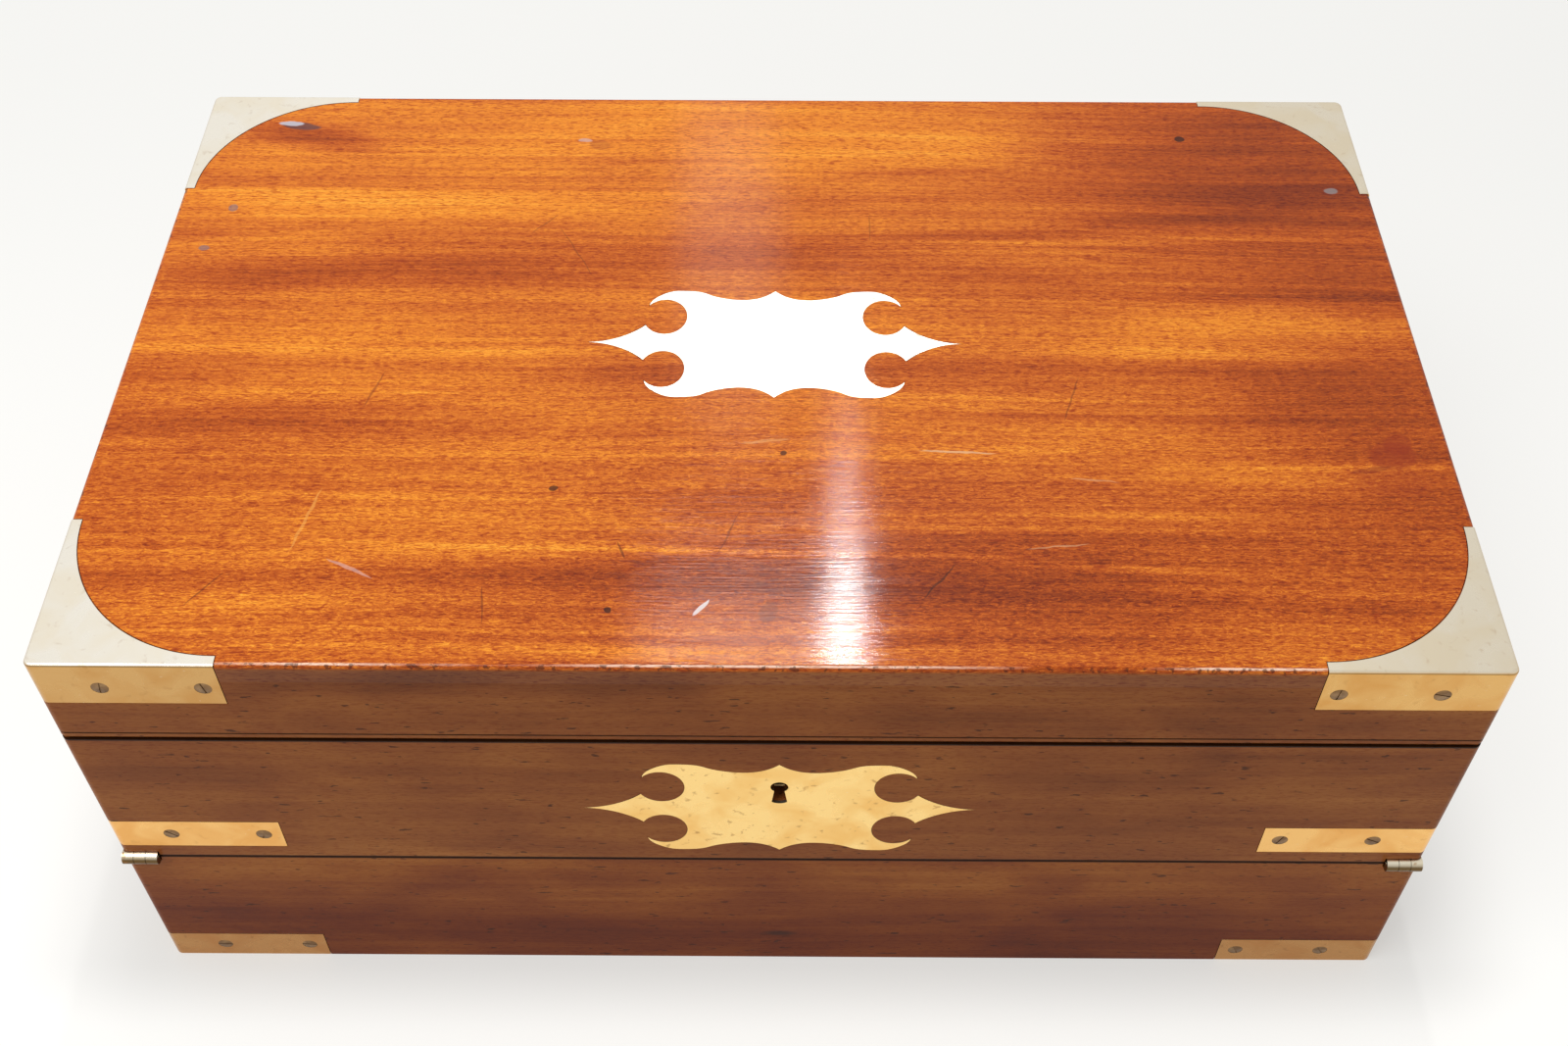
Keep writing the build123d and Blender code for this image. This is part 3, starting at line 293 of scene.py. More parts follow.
darkSpots = [  # place and half sizes (mm), colour, strength
    ((3, -150, 130), (7, 14, 10), "#120906", 0.95),  # painted shade on the wood inside the keyhole
    ((3, -158.5, 21), (8, 5, 2.4), "#3A1A10", 0.75),  # a small knot in the base's front
]


def darkenSpots(tree, place, colour):
    for centre, reaches, tint, share in darkSpots:
        local = addNode(tree, "Mapping", {
            "Vector": place, "Location": mm(*centre), "Scale": mm(*reaches),
        }, vector_type="TEXTURE")
        inside = addNode(tree, "VectorMath", {0: local}, operation="LENGTH")
        inside = addNode(tree, "MapRange", {
            "Value": inside, "From Min": 0.45, "From Max": 1.1, "To Min": share, "To Max": 0.0,
        })
        colour = addNode(tree, "Mix", {"Factor": inside, "A": colour, "B": tint}, data_type="RGBA")
    return colour


# the outline of a mark wanders a little, and the mark starts to fade at this share of its radius
markEdge = {"scale": 160.0, "reach": 1.8, "inner": 0.85}


def addMarks(tree, place, marks, colour):
    drift = addNode(tree, "TexNoise", {"Vector": place, "Scale": markEdge["scale"]}).outputs["Color"]
    drift = addNode(tree, "VectorMath", {0: drift, 1: (0.5, 0.5, 0.5)}, operation="SUBTRACT")
    drift = addNode(tree, "VectorMath", {0: drift, "Scale": mm(markEdge["reach"])}, operation="SCALE")
    moved = addNode(tree, "VectorMath", {0: place, 1: drift})
    for mark in marks:
        share = onLid(tree, moved, mark, markEdge["inner"])
        colour = addNode(tree, "Mix", {"Factor": share, "A": colour, "B": mark[5]}, data_type="RGBA")
    return colour


railShift = (5.2, 1.3, 3.1)  # shared, so that the upright edge and the rail below it match
lidEdge = {
    "upright": (0.15, 0.50),  # from brown to golden, by how far the surface faces up
    # the painted highlight: a pale line where the rounded front edge faces up and forward
    "highlightFrom": (0.78, 0.88), "highlightTo": (0.96, 0.995), "chipped": (0.93, 0.99),
    "front": (-0.04, -0.12),  # by how far it faces the back
    "paintedLight": "#FFDCC4", "paintedLightShare": 0.9,
    "chip": "#4A1C0A", "chipShare": 0.7, "chipSize": 2.4,
}


# The lid's top has bleached golden and its upright edge has stayed as brown as the rails. The front edge
# between them has a painted highlight, a pale line in stretches, and small dark chips.
def colourLidEdge(tree, place, grain, cloud, colour):
    upright = woodFigure(tree, place, grain, railShift, boardCut)[0]
    brown = addNode(tree, "ValToRGB", {"Fac": upright}, stops=sideTones)
    normal = addNode(tree, "SeparateXYZ", {0: addNode(tree, "TexCoord").outputs["Normal"]})
    facing, backward = normal.outputs["Z"], normal.outputs["Y"]
    low, high = lidEdge["upright"]
    upward = addNode(tree, "MapRange", {"Value": facing, "From Min": low, "From Max": high})
    colour = addNode(tree, "Mix", {"Factor": upward, "A": brown, "B": colour}, data_type="RGBA")
    # painted highlight: the rounded front edge is paler where it faces up and forward, in stretches
    low, high = lidEdge["highlightFrom"]
    edgeHighlight = addNode(tree, "MapRange", {"Value": facing, "From Min": low, "From Max": high})
    low, high = lidEdge["highlightTo"]
    flat = addNode(tree, "MapRange", {
        "Value": facing, "From Min": low, "From Max": high, "To Min": lidEdge["paintedLightShare"], "To Max": 0.0,
    })
    patchy = addNode(tree, "MapRange", {"Value": cloud, "From Min": 0.36, "From Max": 0.54})
    low, high = lidEdge["front"]
    forward = addNode(tree, "MapRange", {"Value": backward, "From Min": low, "From Max": high})
    for limit in (flat, forward, patchy):
        edgeHighlight = addNode(tree, "Math", {0: edgeHighlight, 1: limit}, operation="MULTIPLY")
    colour = addNode(tree, "Mix", {"Factor": edgeHighlight, "A": colour, "B": lidEdge["paintedLight"]}, data_type="RGBA")
    chips = addNode(tree, "TexNoise", {"Vector": place, "Scale": 1000 / lidEdge["chipSize"], "Detail": 2.0})
    chips = addNode(tree, "MapRange", {
        "Value": chips, "From Min": 0.56, "From Max": 0.62, "To Max": lidEdge["chipShare"],
    })
    low, high = lidEdge["chipped"]
    below = addNode(tree, "MapRange", {
        "Value": facing, "From Min": low, "From Max": high, "To Min": 1.0, "To Max": 0.0,
    })
    for limit in (below, upward):
        chips = addNode(tree, "Math", {0: chips, 1: limit}, operation="MULTIPLY")
    return addNode(tree, "Mix", {"Factor": chips, "A": colour, "B": lidEdge["chip"]}, data_type="RGBA")


def darkenPores(tree, pores, tint, colour):
    dark = addNode(tree, "Mix", {"Factor": pores, "A": tint, "B": "#FFFFFF"}, data_type="RGBA")
    darkened = {"Factor": 1.0, "A": colour, "B": dark}
    return addNode(tree, "Mix", darkened, data_type="RGBA", blend_type="MULTIPLY")


polish = {
    "pore": "#EAD8CC", "lidPore": "#D2AC94", "nick": "#2C0F02",
    "rough": (0.34, 0.46), "coatRough": (0.045, 0.085),
}
noHeightShade = (0, caseHeight, 0.0)  # two levels in mm, and how much lighter a board gets between them: painted shade, darker toward the bottom


# Mahogany, French polished: an orange-brown with soft ribbons that run along the board, dark curled
# flecks, and a thin hard shellac skin whose fine rubbing scratches fray the mirrored lamps.
def frenchPolish(name, grain, shift, tones=sideTones, heightShade=noHeightShade, bands=(), marks=(), coat=0.14):
    material, tree, place = startMaterial(name)
    figure, layers = woodFigure(tree, place, grain, shift, lidCut if bands else boardCut, bands)
    height = addNode(tree, "SeparateXYZ", {0: place}).outputs["Z"]
    # painted shade by height: the board is darker toward the bottom and lighter toward the top
    low, high, paintedLight = heightShade
    heightShaded = addNode(tree, "MapRange", {
        "Value": height, "From Min": mm(low), "From Max": mm(high), "To Min": -paintedLight, "To Max": paintedLight,
    })
    figure = addNode(tree, "Math", {0: figure, 1: heightShaded})
    colour = addNode(tree, "ValToRGB", {"Fac": figure}, stops=tones)
    if bands:
        colour = colourLidEdge(tree, place, grain, layers["cloud"], colour)
    pore = polish["lidPore"] if bands else polish["pore"]
    colour = darkenPores(tree, layers["pores"], pore, colour)
    if marks:
        colour = addMarks(tree, place, marks, colour)
    else:
        nicked = {"Factor": layers["nicks"], "A": colour, "B": polish["nick"]}
        colour = addNode(tree, "Mix", nicked, data_type="RGBA")
    colour = darkenSpots(tree, place, darkenSeams(tree, place, colour))
    bump = addNode(tree, "Bump", {"Strength": 0.2, "Distance": mm(0.05), "Height": layers["pores"]})
    frayed = addNode(tree, "Bump", {"Strength": 0.5, "Distance": mm(0.08), "Height": layers["scuffs"]})
    low, high = polish["rough"]
    rough = addNode(tree, "MapRange", {"Value": layers["cloud"], "To Min": low, "To Max": high})
    low, high = polish["coatRough"]
    coatRough = addNode(tree, "MapRange", {
        "Value": layers["scuffs"], "From Min": 0.42, "From Max": 0.58, "To Min": low, "To Max": high,
    })
    endMaterial(tree, {
        "Base Color": colour, "Roughness": rough, "Specular IOR Level": 0.04, "Normal": bump,
        "Coat Weight": coat, "Coat Roughness": coatRough, "Coat IOR": 1.5, "Coat Normal": frayed,
    })
    return material


oiled = {
    "tones": [(0.05, "#6A3517"), (0.45, "#935024"), (0.75, "#AE6A35"), (0.98, "#C28146")],
    "pore": "#A88A78", "rough": (0.48, 0.66),
}


# Mahogany, oiled: the same wood with no skin on it, duller and a little paler.
def oiledWood(name, grain, shift):
    material, tree, place = startMaterial(name)
    figure, layers = woodFigure(tree, place, grain, shift, boardCut)
    colour = addNode(tree, "ValToRGB", {"Fac": figure}, stops=oiled["tones"])
    colour = darkenPores(tree, layers["pores"], oiled["pore"], colour)
    bump = addNode(tree, "Bump", {"Strength": 0.4, "Distance": mm(0.08), "Height": layers["pores"]})
    low, high = oiled["rough"]
    rough = addNode(tree, "MapRange", {"Value": layers["line"], "To Min": low, "To Max": high})
    endMaterial(tree, {"Base Color": colour, "Roughness": rough, "Specular IOR Level": 0.3, "Normal": bump})
    return material


# ---- brass

brassWear = {  # pattern sizes in mm
    "hair": (34, 0.5, 0.5), "hairTurn": (0.3, 0.2, 0.35), "hairColour": "#FBF6E6", "hairShare": 0.5,
    "haze": 17, "hazeSide": "#F5E6CE", "hazeTop": "#FAF6EE",
    "spot": 3.4, "spotColour": "#94622A",
    # painted shade: a dark line along the lower part of each softened edge
    "edgeShade": "#5E4A2C", "edgeShadeShare": 0.6,
}


# Cast brass, hand filed and long polished, with hairline scratches and small spots. Faces that point up are
# painted pale and silvery and upright faces golden, a painted reflection of the pale room.
def brass(name, top="#DDD3BD", side="#E3B06A", rough=0.27, spots=0.2):
    material, tree, place = startMaterial(name)
    turned = addNode(tree, "Mapping", {"Vector": place, "Rotation": brassWear["hairTurn"]})
    turned = addNode(tree, "Mapping", {"Vector": turned, "Scale": perMm(*brassWear["hair"])})
    hair = addNode(tree, "TexNoise", {"Vector": turned, "Scale": 1.0, "Detail": 3.0})
    haze = addNode(tree, "TexNoise", {
        "Vector": place, "Scale": 1000 / brassWear["haze"], "Detail": 3.0, "Distortion": 0.6,
    })
    spot = addNode(tree, "TexNoise", {"Vector": place, "Scale": 1000 / brassWear["spot"], "Distortion": 0.4})
    facing = addNode(tree, "SeparateXYZ", {0: addNode(tree, "TexCoord").outputs["Normal"]}).outputs["Z"]
    facing = addNode(tree, "Math", {0: facing}, operation="ABSOLUTE")
    # painted reflection: faces that point up take the pale top colour, upright faces the golden side colour
    upward = addNode(tree, "MapRange", {"Value": facing, "From Min": 0.35, "From Max": 0.9})
    colour = addNode(tree, "Mix", {"Factor": upward, "A": side, "B": top}, data_type="RGBA")
    browned = addNode(tree, "MapRange", {"Value": haze, "From Min": 0.40, "From Max": 0.66})
    hazed = {"Factor": upward, "A": brassWear["hazeSide"], "B": brassWear["hazeTop"]}
    veil = addNode(tree, "Mix", hazed, data_type="RGBA")
    veil = addNode(tree, "Mix", {"Factor": browned, "A": "#FFFFFF", "B": veil}, data_type="RGBA")
    veiled = {"Factor": 1.0, "A": colour, "B": veil}
    colour = addNode(tree, "Mix", veiled, data_type="RGBA", blend_type="MULTIPLY")
    scratch = addNode(tree, "MapRange", {
        "Value": hair, "From Min": 0.70, "From Max": 0.80, "To Max": brassWear["hairShare"],
    })
    scratched = {"Factor": scratch, "A": colour, "B": brassWear["hairColour"]}
    colour = addNode(tree, "Mix", scratched, data_type="RGBA")
    below = addNode(tree, "MapRange", {
        "Value": facing, "From Min": 0.12, "From Max": 0.34, "To Max": brassWear["edgeShadeShare"],
    })
    above = addNode(tree, "MapRange", {
        "Value": facing, "From Min": 0.48, "From Max": 0.66, "To Min": 1.0, "To Max": 0.0,
    })
    edgeShadeMask = addNode(tree, "Math", {0: below, 1: above}, operation="MULTIPLY")  # painted shade along the lower part of the softened edges
    edgeShaded = {"Factor": edgeShadeMask, "A": colour, "B": brassWear["edgeShade"]}
    colour = addNode(tree, "Mix", edgeShaded, data_type="RGBA")
    pitted = addNode(tree, "MapRange", {"Value": spot, "From Min": 0.63, "From Max": 0.76, "To Max": spots})
    spotted = {"Factor": pitted, "A": colour, "B": brassWear["spotColour"]}
    colour = addNode(tree, "Mix", spotted, data_type="RGBA")
    gloss = addNode(tree, "MapRange", {"Value": haze, "To Min": rough - 0.04, "To Max": rough + 0.06})
    bump = addNode(tree, "Bump", {"Strength": 0.12, "Distance": mm(0.03), "Height": hair})
    endMaterial(tree, {"Base Color": colour, "Metallic": 1.0, "Roughness": gloss, "Normal": bump})
    return material


screwWear = {"patch": 3, "tones": [(0.3, "#75573A"), (0.7, "#9C7C58")], "rough": 0.45}


# Screws of old brass gone brown-grey, worn dull and patchy with dirt.
def dullScrew(name):
    material, tree, place = startMaterial(name)
    dirtAndShade = addNode(tree, "TexNoise", {"Vector": place, "Scale": 1000 / screwWear["patch"], "Detail": 3.0})
    colour = addNode(tree, "ValToRGB", {"Fac": dirtAndShade}, stops=screwWear["tones"])
    endMaterial(tree, {"Base Color": colour, "Metallic": 1.0, "Roughness": screwWear["rough"]})
    return material


# ---- leather, lining, glass

leather = {
    "pebble": 1.1, "patch": 40, "tones": [(0.35, "#1E3524"), (0.65, "#2B4A33")],
    "fillets": ((7.0, 0.7), (9.6, 0.25)),  # mm in from the edge, half width
    "gilt": "#D2A24C", "rough": (0.52, 0.30),
}


# Skiver, a thin sheepskin dyed dark green: fine pebbled grain, and a gilt fillet rolled round its edge.
def tooledSkiver(name, node):
    low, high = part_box(node)
    middle = (low + high) / 2
    half = (high - low) / 2
    material, tree, place = startMaterial(name)
    grain = addNode(tree, "TexVoronoi", {"Vector": place, "Scale": 1000 / leather["pebble"]})
    shade = addNode(tree, "TexNoise", {"Vector": place, "Scale": 1000 / leather["patch"], "Detail": 3.0})
    colour = addNode(tree, "ValToRGB", {"Fac": shade}, stops=leather["tones"])
    apart = addNode(tree, "SeparateXYZ", {0: place})
    alongX = addNode(tree, "Math", {0: apart.outputs["X"]}, operation="ABSOLUTE")
    alongX = addNode(tree, "Math", {0: alongX, 1: half.x}, operation="SUBTRACT")
    alongY = addNode(tree, "Math", {0: apart.outputs["Y"], 1: middle.y}, operation="SUBTRACT")
    alongY = addNode(tree, "Math", {0: alongY}, operation="ABSOLUTE")
    alongY = addNode(tree, "Math", {0: alongY, 1: half.y}, operation="SUBTRACT")
    edge = addNode(tree, "Math", {0: alongX, 1: alongY}, operation="MAXIMUM")
    lines = [
        addNode(tree, "Math", {0: edge, 1: -mm(inset), 2: mm(reach)}, operation="COMPARE")
        for inset, reach in leather["fillets"]
    ]
    gilt = addNode(tree, "Math", {0: lines[0], 1: lines[1]}, operation="MAXIMUM")
    colour = addNode(tree, "Mix", {"Factor": gilt, "A": colour, "B": leather["gilt"]}, data_type="RGBA")
    dull, bright = leather["rough"]
    rough = addNode(tree, "MapRange", {"Value": gilt, "To Min": dull, "To Max": bright})
    bump = addNode(tree, "Bump", {"Strength": 0.35, "Distance": mm(0.12), "Height": grain})
    endMaterial(tree, {"Base Color": colour, "Metallic": gilt, "Roughness": rough, "Normal": bump})
    return material


velvetCloth = {"nap": 18, "pile": 0.7, "tones": [(0.3, "#35142B"), (0.7, "#4E2140")], "sheen": "#9A6C8C"}


# Silk velvet in the lid, deep plum, with the nap brushed in patches.
def silkVelvet(name):
    material, tree, place = startMaterial(name)
    nap = addNode(tree, "TexNoise", {
        "Vector": place, "Scale": 1000 / velvetCloth["nap"], "Detail": 4.0, "Distortion": 0.8,
    })
    pile = addNode(tree, "TexNoise", {"Vector": place, "Scale": 1000 / velvetCloth["pile"]})
    colour = addNode(tree, "ValToRGB", {"Fac": nap}, stops=velvetCloth["tones"])
    bump = addNode(tree, "Bump", {"Strength": 0.5, "Distance": mm(0.2), "Height": pile})
    endMaterial(tree, {
        "Base Color": colour, "Roughness": 0.9, "Normal": bump,
        "Sheen Weight": 0.6, "Sheen Roughness": 0.4, "Sheen Tint": velvetCloth["sheen"],
    })
    return material


bottleGlass = {"ripple": 9, "tones": [(0.3, "#E4F0EA"), (0.7, "#F2F8F5")]}


# Cut flint glass: clear, faintly green, hard and smooth.
def flintGlass(name):
    material, tree, place = startMaterial(name)
    ripple = addNode(tree, "TexNoise", {"Vector": place, "Scale": 1000 / bottleGlass["ripple"]})
    tint = addNode(tree, "ValToRGB", {"Fac": ripple}, stops=bottleGlass["tones"])
    bump = addNode(tree, "Bump", {"Strength": 0.1, "Distance": mm(0.1), "Height": ripple})
    endMaterial(tree, {
        "Base Color": tint, "Roughness": 0.03, "IOR": 1.55, "Transmission Weight": 1.0, "Normal": bump,
    })
    return material


lidShift = (0.4, 2.0, 0.7)
lidWood = frenchPolish("mahoganyLidTop", "x", lidShift, lidTones, bands=lidBands, marks=lidMarks, coat=0.28)
lidRailWood = frenchPolish("mahoganyLidRail", "x", railShift)
slopeWood = frenchPolish("mahoganySlope", "x", (9.7, 4.4, 1.9))
baseWood = frenchPolish("mahoganyBase", "x", (14.1, 7.5, 6.2), baseTones, heightShade=(20, 74, 0.20))
sideWoods = {
    "lid": frenchPolish("mahoganyLidSide", "y", (3.3, 8.1, 2.2)),
    "slope": frenchPolish("mahoganySlopeSide", "y", (6.9, 5.8, 4.0)),
    "base": frenchPolish("mahoganyBaseSide", "y", (11.6, 2.7, 8.8), baseTones, heightShade=(10, 160, 0.14)),
}
insideWood = oiledWood("mahoganyOiled", "x", (2.4, 6.6, 5.5))
insideAcross = oiledWood("mahoganyOiledAcross", "y", (7.7, 3.9, 1.2))
# lit and shaded copies of one brass: the left bracket tops are painted paler, as if nearer the lamp, and the
# right ones duller
leftBracketBrass = brass("brassBracketLeft", top="#E8E2D5", side="#CA9E60")
rightBracketBrass = brass("brassBracketRight", top="#D2C8B4", side="#DBAC66")
strapBrass = brass("brassStrap", side="#F2BE70")
# painted shade: the foot straps' upright faces are a darker copy of the strap brass
footBrass = brass("brassFootStrap", side="#BD884A", spots=0.5)
# painted light: the plates' upright faces are a brighter copy of the strap brass
plateBrass = brass("brassPlate", top="#EDE8DA", side="#FFD98C", spots=0.55)
# painted highlight and shade: the hinge knuckles are pale on top and dark brown on their sides
hingeBrass = brass("brassHinge", top="#D6CDB8", side="#6C5636", rough=0.26, spots=0.9)
screwMetal = dullScrew("screwMetal")
skivers = {name: tooledSkiver(name + "Skiver", name + "_leather") for name in ("base", "slope")}
velvet = silkVelvet("plumVelvet")
glass = flintGlass("flintGlass")

finishes = {
    "lid_panel": lidWood,
    "lid_front_rail": lidRailWood, "lid_back_rail": lidRailWood, "lid_lipping": lidRailWood,
    "lid_left_rail": sideWoods["lid"], "lid_right_rail": sideWoods["lid"],
    "slope_front_board": slopeWood,
    "slope_left_cheek": sideWoods["slope"], "slope_right_cheek": sideWoods["slope"],
    "base_front_board": baseWood, "base_back_board": baseWood,
    "base_left_board": sideWoods["base"], "base_right_board": sideWoods["base"],
    "base_leather": skivers["base"], "slope_leather": skivers["slope"],
    "lid_lining": velvet, "ink_bottles": glass,
    "base_ledges": insideAcross, "slope_ledges": insideAcross,
    "lid_plate": plateBrass, "lock_plate": plateBrass, "ink_caps": strapBrass,
}
insidePieces = [
    "base_floor", "base_flap", "standish_wall", "standish_floor", "dividers", "pen_tray",
    "slope_floor", "slope_flap", "slope_rear_rail",
]
for name, piece in nodes.items():
    finish = finishes.get(name)
    if name in insidePieces:
        finish = insideWood
    if finish is None and ("hinge" in name or name in ("link_plate", "lock_case", "lock_bolt")):
        finish = hingeBrass
    if finish is None and "bracket" in name:
        finish = leftBracketBrass if name.endswith("left") else rightBracketBrass
    if finish is None:
        finish = footBrass if name.startswith("base_strap") else strapBrass
    piece.data.materials.clear()
    piece.data.materials.append(finish)
print("finishes set")

# ---- slotted screws

screwSize = {
    "radius": 3.0, "thick": 1.2, "edge": 0.12, "slotWidth": 0.5, "slotDepth": 0.3,
    "shank": 1.6, "length": 7.2,
}
smoothAngle = 35
# levels above the floor and places in from the corners, in mm
bracketLevel, strapLevel, footLevel = 195.0, 98.25, 8.75
cornerReach = (23.2, 58.8)
cheekReach = (15.6,)
handleLevel, handleReach = 60.0, (-42.5, 42.5)


def selectFaces(mesh, test):
    bpy.ops.mesh.select_all(action="DESELECT")
    bpy.ops.object.mode_set(mode="OBJECT")
    for face in mesh.polygons:
        face.select = test(face)
    bpy.ops.object.mode_set(mode="EDIT")


def modelScrew():
    size = {name: mm(value) for name, value in screwSize.items()}
    bpy.ops.object.select_all(action="DESELECT")
    bpy.ops.mesh.primitive_cylinder_add(
        vertices=32, radius=size["radius"], depth=size["thick"], location=(0, 0, -size["thick"] / 2)
    )
    screw = bpy.context.object
    bpy.ops.object.transform_apply(location=True, rotation=True, scale=True)
    bpy.ops.object.mode_set(mode="EDIT")
    bpy.ops.mesh.select_mode(type="FACE")
    selectFaces(screw.data, lambda f: f.normal.z < -0.9)  # the shank, out of the head's underside
    bpy.ops.mesh.inset(thickness=size["radius"] - size["shank"])
    bpy.ops.mesh.extrude_region_move(TRANSFORM_OT_translate={"value": (0, 0, size["thick"] - size["length"])})
    selectFaces(screw.data, lambda f: f.normal.z > 0.9)  # the softened edge
    bpy.ops.mesh.inset(thickness=size["edge"])
    bpy.ops.transform.translate(value=(0, 0, size["edge"] / 2))
    for sign in (-1, 1):  # the slot: two cuts, and the strip between them pushed in
        selectFaces(screw.data, lambda f: f.normal.z > 0.3)
        bpy.ops.mesh.bisect(plane_co=(0, sign * size["slotWidth"] / 2, 0), plane_no=(0, 1, 0))
    selectFaces(screw.data, lambda f: f.normal.z > 0.9 and abs(f.center.y) < size["slotWidth"] / 2)
    bpy.ops.mesh.extrude_region_move(TRANSFORM_OT_translate={"value": (0, 0, -size["slotDepth"])})
    bpy.ops.mesh.select_all(action="SELECT")
    bpy.ops.transform.translate(value=(0, 0, -size["edge"] / 2))
    bpy.ops.object.mode_set(mode="OBJECT")
    bpy.ops.object.shade_smooth_by_angle(angle=math.radians(smoothAngle))
    return screw


# Rows of screws near the corners in front (end -1) or at the back (end 1), each as its place and the
# way that its head faces.
def facePlaces(level, reaches, end):
    return [
        ((side * (caseHalf[0] - reach), end * caseHalf[1], level), (0, end, 0))
        for side in (-1, 1) for reach in reaches
    ]


def sidePlaces(level, reaches, end):
    return [
        ((side * caseHalf[0], end * (caseHalf[1] - reach), level), (side, 0, 0))
        for side in (-1, 1) for reach in reaches
    ]


def cornerPlaces(level, end):
    return facePlaces(level, cornerReach, end) + sidePlaces(level, cornerReach, end)


screwPlaces = {"lid": [], "base": [], "slope": []}
for end in (-1, 1):
    screwPlaces["lid"] += cornerPlaces(bracketLevel, end)
    screwPlaces["base"] += cornerPlaces(footLevel, end)
screwPlaces["base"] += cornerPlaces(strapLevel, 1)
screwPlaces["base"] += [
    ((side * caseHalf[0], reach, handleLevel), (side, 0, 0)) for side in (-1, 1) for reach in handleReach
]
screwPlaces["slope"] = facePlaces(strapLevel, cornerReach, -1) + sidePlaces(strapLevel, cheekReach, -1)

masterScrew = modelScrew()
for body, places in screwPlaces.items():
    copies = []
    for spot, facing in places:
        copy = masterScrew.copy()
        copy.data = masterScrew.data.copy()
        bpy.context.collection.objects.link(copy)
        turn = Vector(facing).to_track_quat("Z", "Y").to_matrix().to_4x4()
        slot = Matrix.Rotation(random.uniform(0, math.pi), 4, "Z")
        copy.data.transform(Matrix.Translation(mm(*spot)) @ turn @ slot)
        copies.append(copy)
    bpy.ops.object.select_all(action="DESELECT")
    for copy in copies:
        copy.select_set(True)
    bpy.context.view_layer.objects.active = copies[0]
    bpy.ops.object.join()
    screwSet = bpy.context.object
    screwSet.name = body + "SlottedScrews"
    screwSet.data.materials.clear()
    screwSet.data.materials.append(screwMetal)
    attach(screwSet, body)
    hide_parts(body + "_screws")
bpy.data.objects.remove(masterScrew)
print("screws set")

# ---- stage, light and camera

studio = {
    "floorSeen": "#A1A09E", "floorBounce": "#8A8884", "floorGlow": "#FFFFFC",
    "worldSeen": 1.0, "worldFill": 0.50,
    "paintedShadowGlow": 0.345, "glowFar": 0.570, "glowReach": 0.040,  # painted shadow: the paper glows less near the box and more away from it
    "glowStretch": (0.5, 1.0, 1.0),
    "paintedFrontGlow": 0.135, "frontReach": (0.50, -0.30),  # and painted light: it glows more toward the front, between two places in metres
}
lamps = {  # metres and watts; the strips and the card stand behind, where the polish mirrors them
    "softbox": {"place": (-0.75, -0.55, 1.75), "aim": (0, 0, 0.1), "size": (1.0, 1.0), "watts": 16.0},
    "nearStrip": {
        "place": (0.092, 1.10, 2.0), "aim": (0.024, -0.14, 0.208), "size": (0.038, 0.30), "watts": 6.6,
    },
    "middleStrip": {
        "place": (0.096, 1.38, 2.0), "aim": (0.024, -0.11, 0.208), "size": (0.045, 0.20), "watts": 1.1,
    },
    "endStrip": {
        "place": (0.099, 1.62, 2.0), "aim": (0.024, -0.06, 0.208), "size": (0.045, 0.28), "watts": 0.2,
    },
    "paleCard": {
        "place": (-0.07, 1.13, 2.0), "aim": (-0.01, -0.15, 0.208), "size": (0.34, 0.26), "watts": 3.0,
    },
    "farStrip": {
        "place": (-0.11, 2.10, 2.0), "aim": (-0.02, 0.06, 0.208), "size": (0.20, 0.6), "watts": 1.0,
    },
}
cameraSet = {
    "place": (0.00574, -0.51790, 0.70618), "turn": (40.436, -0.0999, 0.3247),  # metres, degrees
    "lens": 41.566, "sensor": 36, "nearest": 0.01,
}


def seenRay(tree):  # 1 for what the camera sees straight, mirrored or through glass, 0 for soft light
    path = addNode(tree, "LightPath")
    seen = path.outputs["Is Camera Ray"]
    for kind in ("Is Glossy Ray", "Is Transmission Ray"):
        seen = addNode(tree, "Math", {0: seen, 1: path.outputs[kind]}, operation="MAXIMUM")
    return seen


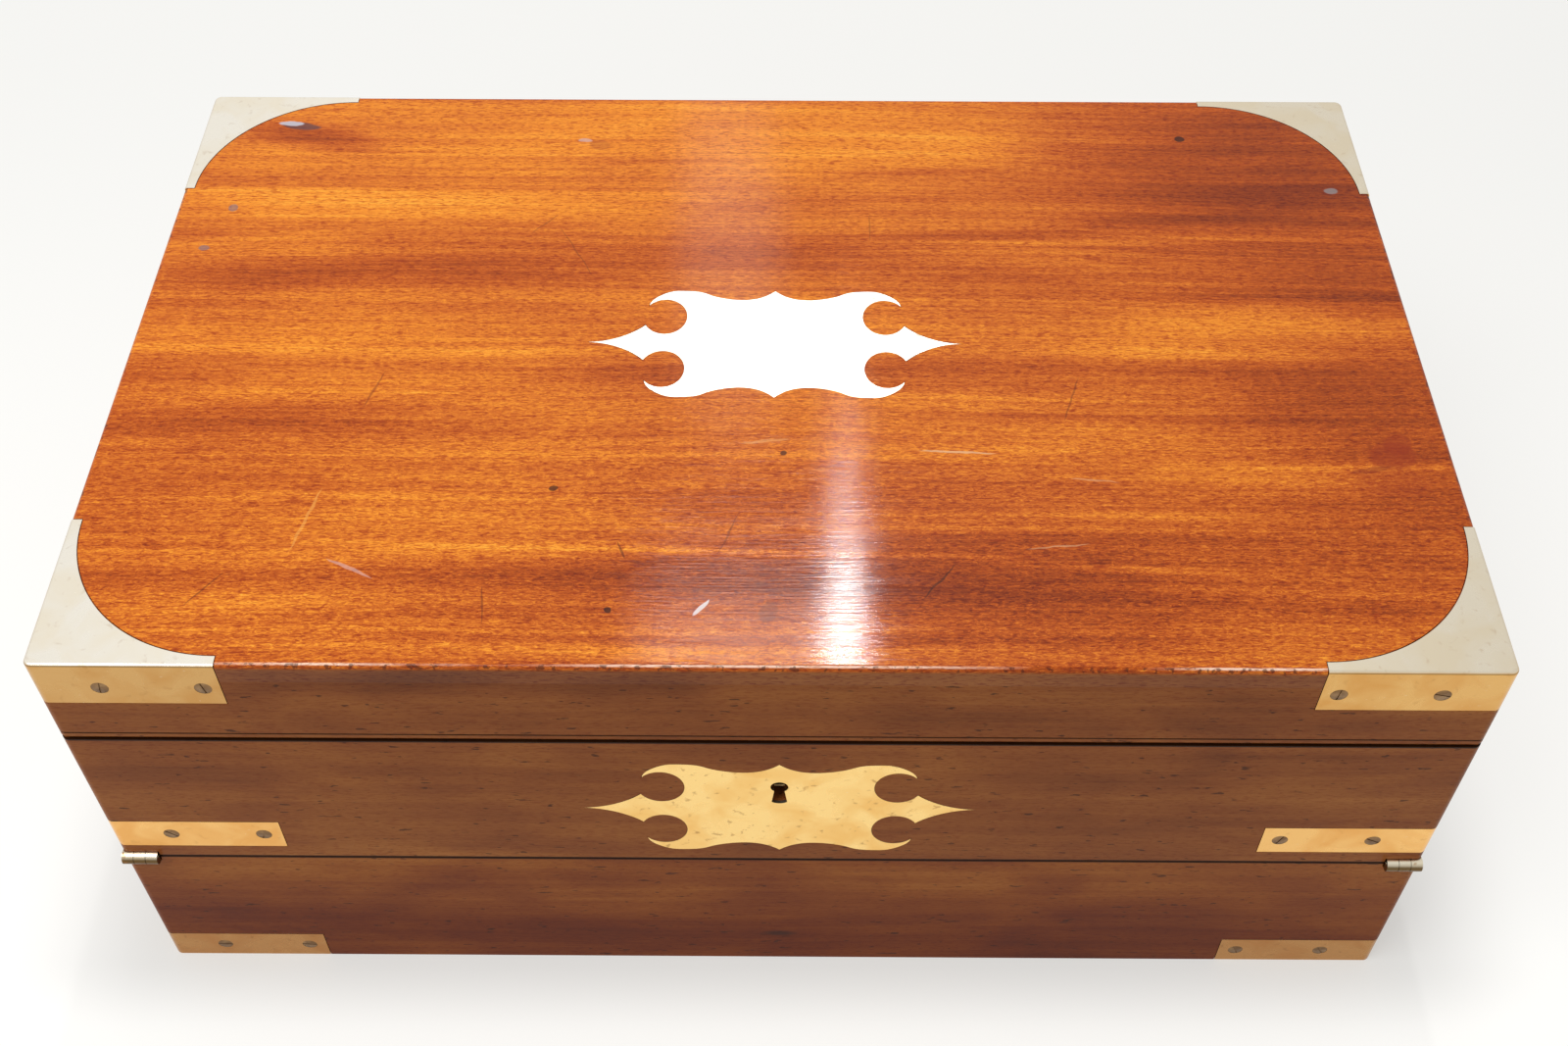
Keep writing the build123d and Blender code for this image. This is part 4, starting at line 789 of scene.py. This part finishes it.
# Matt white paper, seen pale but throwing little light back up.
def paperSweep(name):
    material, tree, place = startMaterial(name)
    seen = seenRay(tree)
    white = {"Factor": seen, "A": studio["floorBounce"], "B": studio["floorSeen"]}
    paper = addNode(tree, "Mix", white, data_type="RGBA")
    away = addNode(tree, "VectorMath", {0: place}, operation="ABSOLUTE")
    away = addNode(tree, "VectorMath", {0: away, 1: mm(*caseHalf, 0)}, operation="SUBTRACT")
    away = addNode(tree, "VectorMath", {0: away, 1: (0, 0, 0)}, operation="MAXIMUM")
    away = addNode(tree, "VectorMath", {0: away, 1: studio["glowStretch"]}, operation="MULTIPLY")
    away = addNode(tree, "VectorMath", {0: away}, operation="LENGTH")
    # painted shadow: the glow is lowest next to the box, and painted light lifts it toward the front
    glow = addNode(tree, "MapRange", {
        "Value": away, "From Max": studio["glowReach"],
        "To Min": studio["paintedShadowGlow"], "To Max": studio["glowFar"],
    }, interpolation_type="SMOOTHSTEP")
    along = addNode(tree, "SeparateXYZ", {0: place}).outputs["Y"]
    front = addNode(tree, "MapRange", {
        "Value": along, "From Min": studio["frontReach"][0], "From Max": studio["frontReach"][1],
        "To Min": 0.0, "To Max": studio["paintedFrontGlow"],
    }, interpolation_type="SMOOTHSTEP")
    glow = addNode(tree, "Math", {0: glow, 1: front})
    glow = addNode(tree, "Math", {0: seen, 1: glow}, operation="MULTIPLY")
    endMaterial(tree, {
        "Base Color": paper, "Roughness": 0.9, "Specular IOR Level": 0.0,
        "Emission Color": studio["floorGlow"], "Emission Strength": glow,
    })
    return material


bpy.ops.object.select_all(action="DESELECT")
bpy.ops.mesh.primitive_plane_add(size=14, location=(0, 0, 0))
floor = bpy.context.object
floor.name = "studioFloor"
floor.data.materials.append(paperSweep("paperSweep"))

world = bpy.data.worlds.new("studioWorld")
bpy.context.scene.world = world
world.use_nodes = True
tree = world.node_tree
tree.nodes.clear()
strength = addNode(tree, "MapRange", {
    "Value": seenRay(tree), "To Min": studio["worldFill"], "To Max": studio["worldSeen"],
})
background = addNode(tree, "Background", {"Color": "#FFFFFF", "Strength": strength})
addNode(tree, "OutputWorld", {"Surface": background})

for name, lamp in lamps.items():
    light = bpy.data.lights.new(name, "AREA")
    light.shape = "RECTANGLE" if name == "softbox" else "ELLIPSE"
    light.size, light.size_y = lamp["size"]
    light.energy = lamp["watts"]
    holder = bpy.data.objects.new(name, light)
    bpy.context.scene.collection.objects.link(holder)
    holder.location = lamp["place"]
    toward = Vector(lamp["aim"]) - Vector(lamp["place"])
    holder.rotation_euler = toward.to_track_quat("-Z", "Y").to_euler()

camera = bpy.data.objects.new("camera", bpy.data.cameras.new("camera"))
bpy.context.scene.collection.objects.link(camera)
camera.location = cameraSet["place"]
camera.rotation_euler = [math.radians(a) for a in cameraSet["turn"]]
camera.data.sensor_width = cameraSet["sensor"]
camera.data.lens = cameraSet["lens"]
camera.data.clip_start = cameraSet["nearest"]
bpy.context.scene.camera = camera
bpy.context.scene.view_settings.view_transform = "Standard"
print("stage, light and camera set")
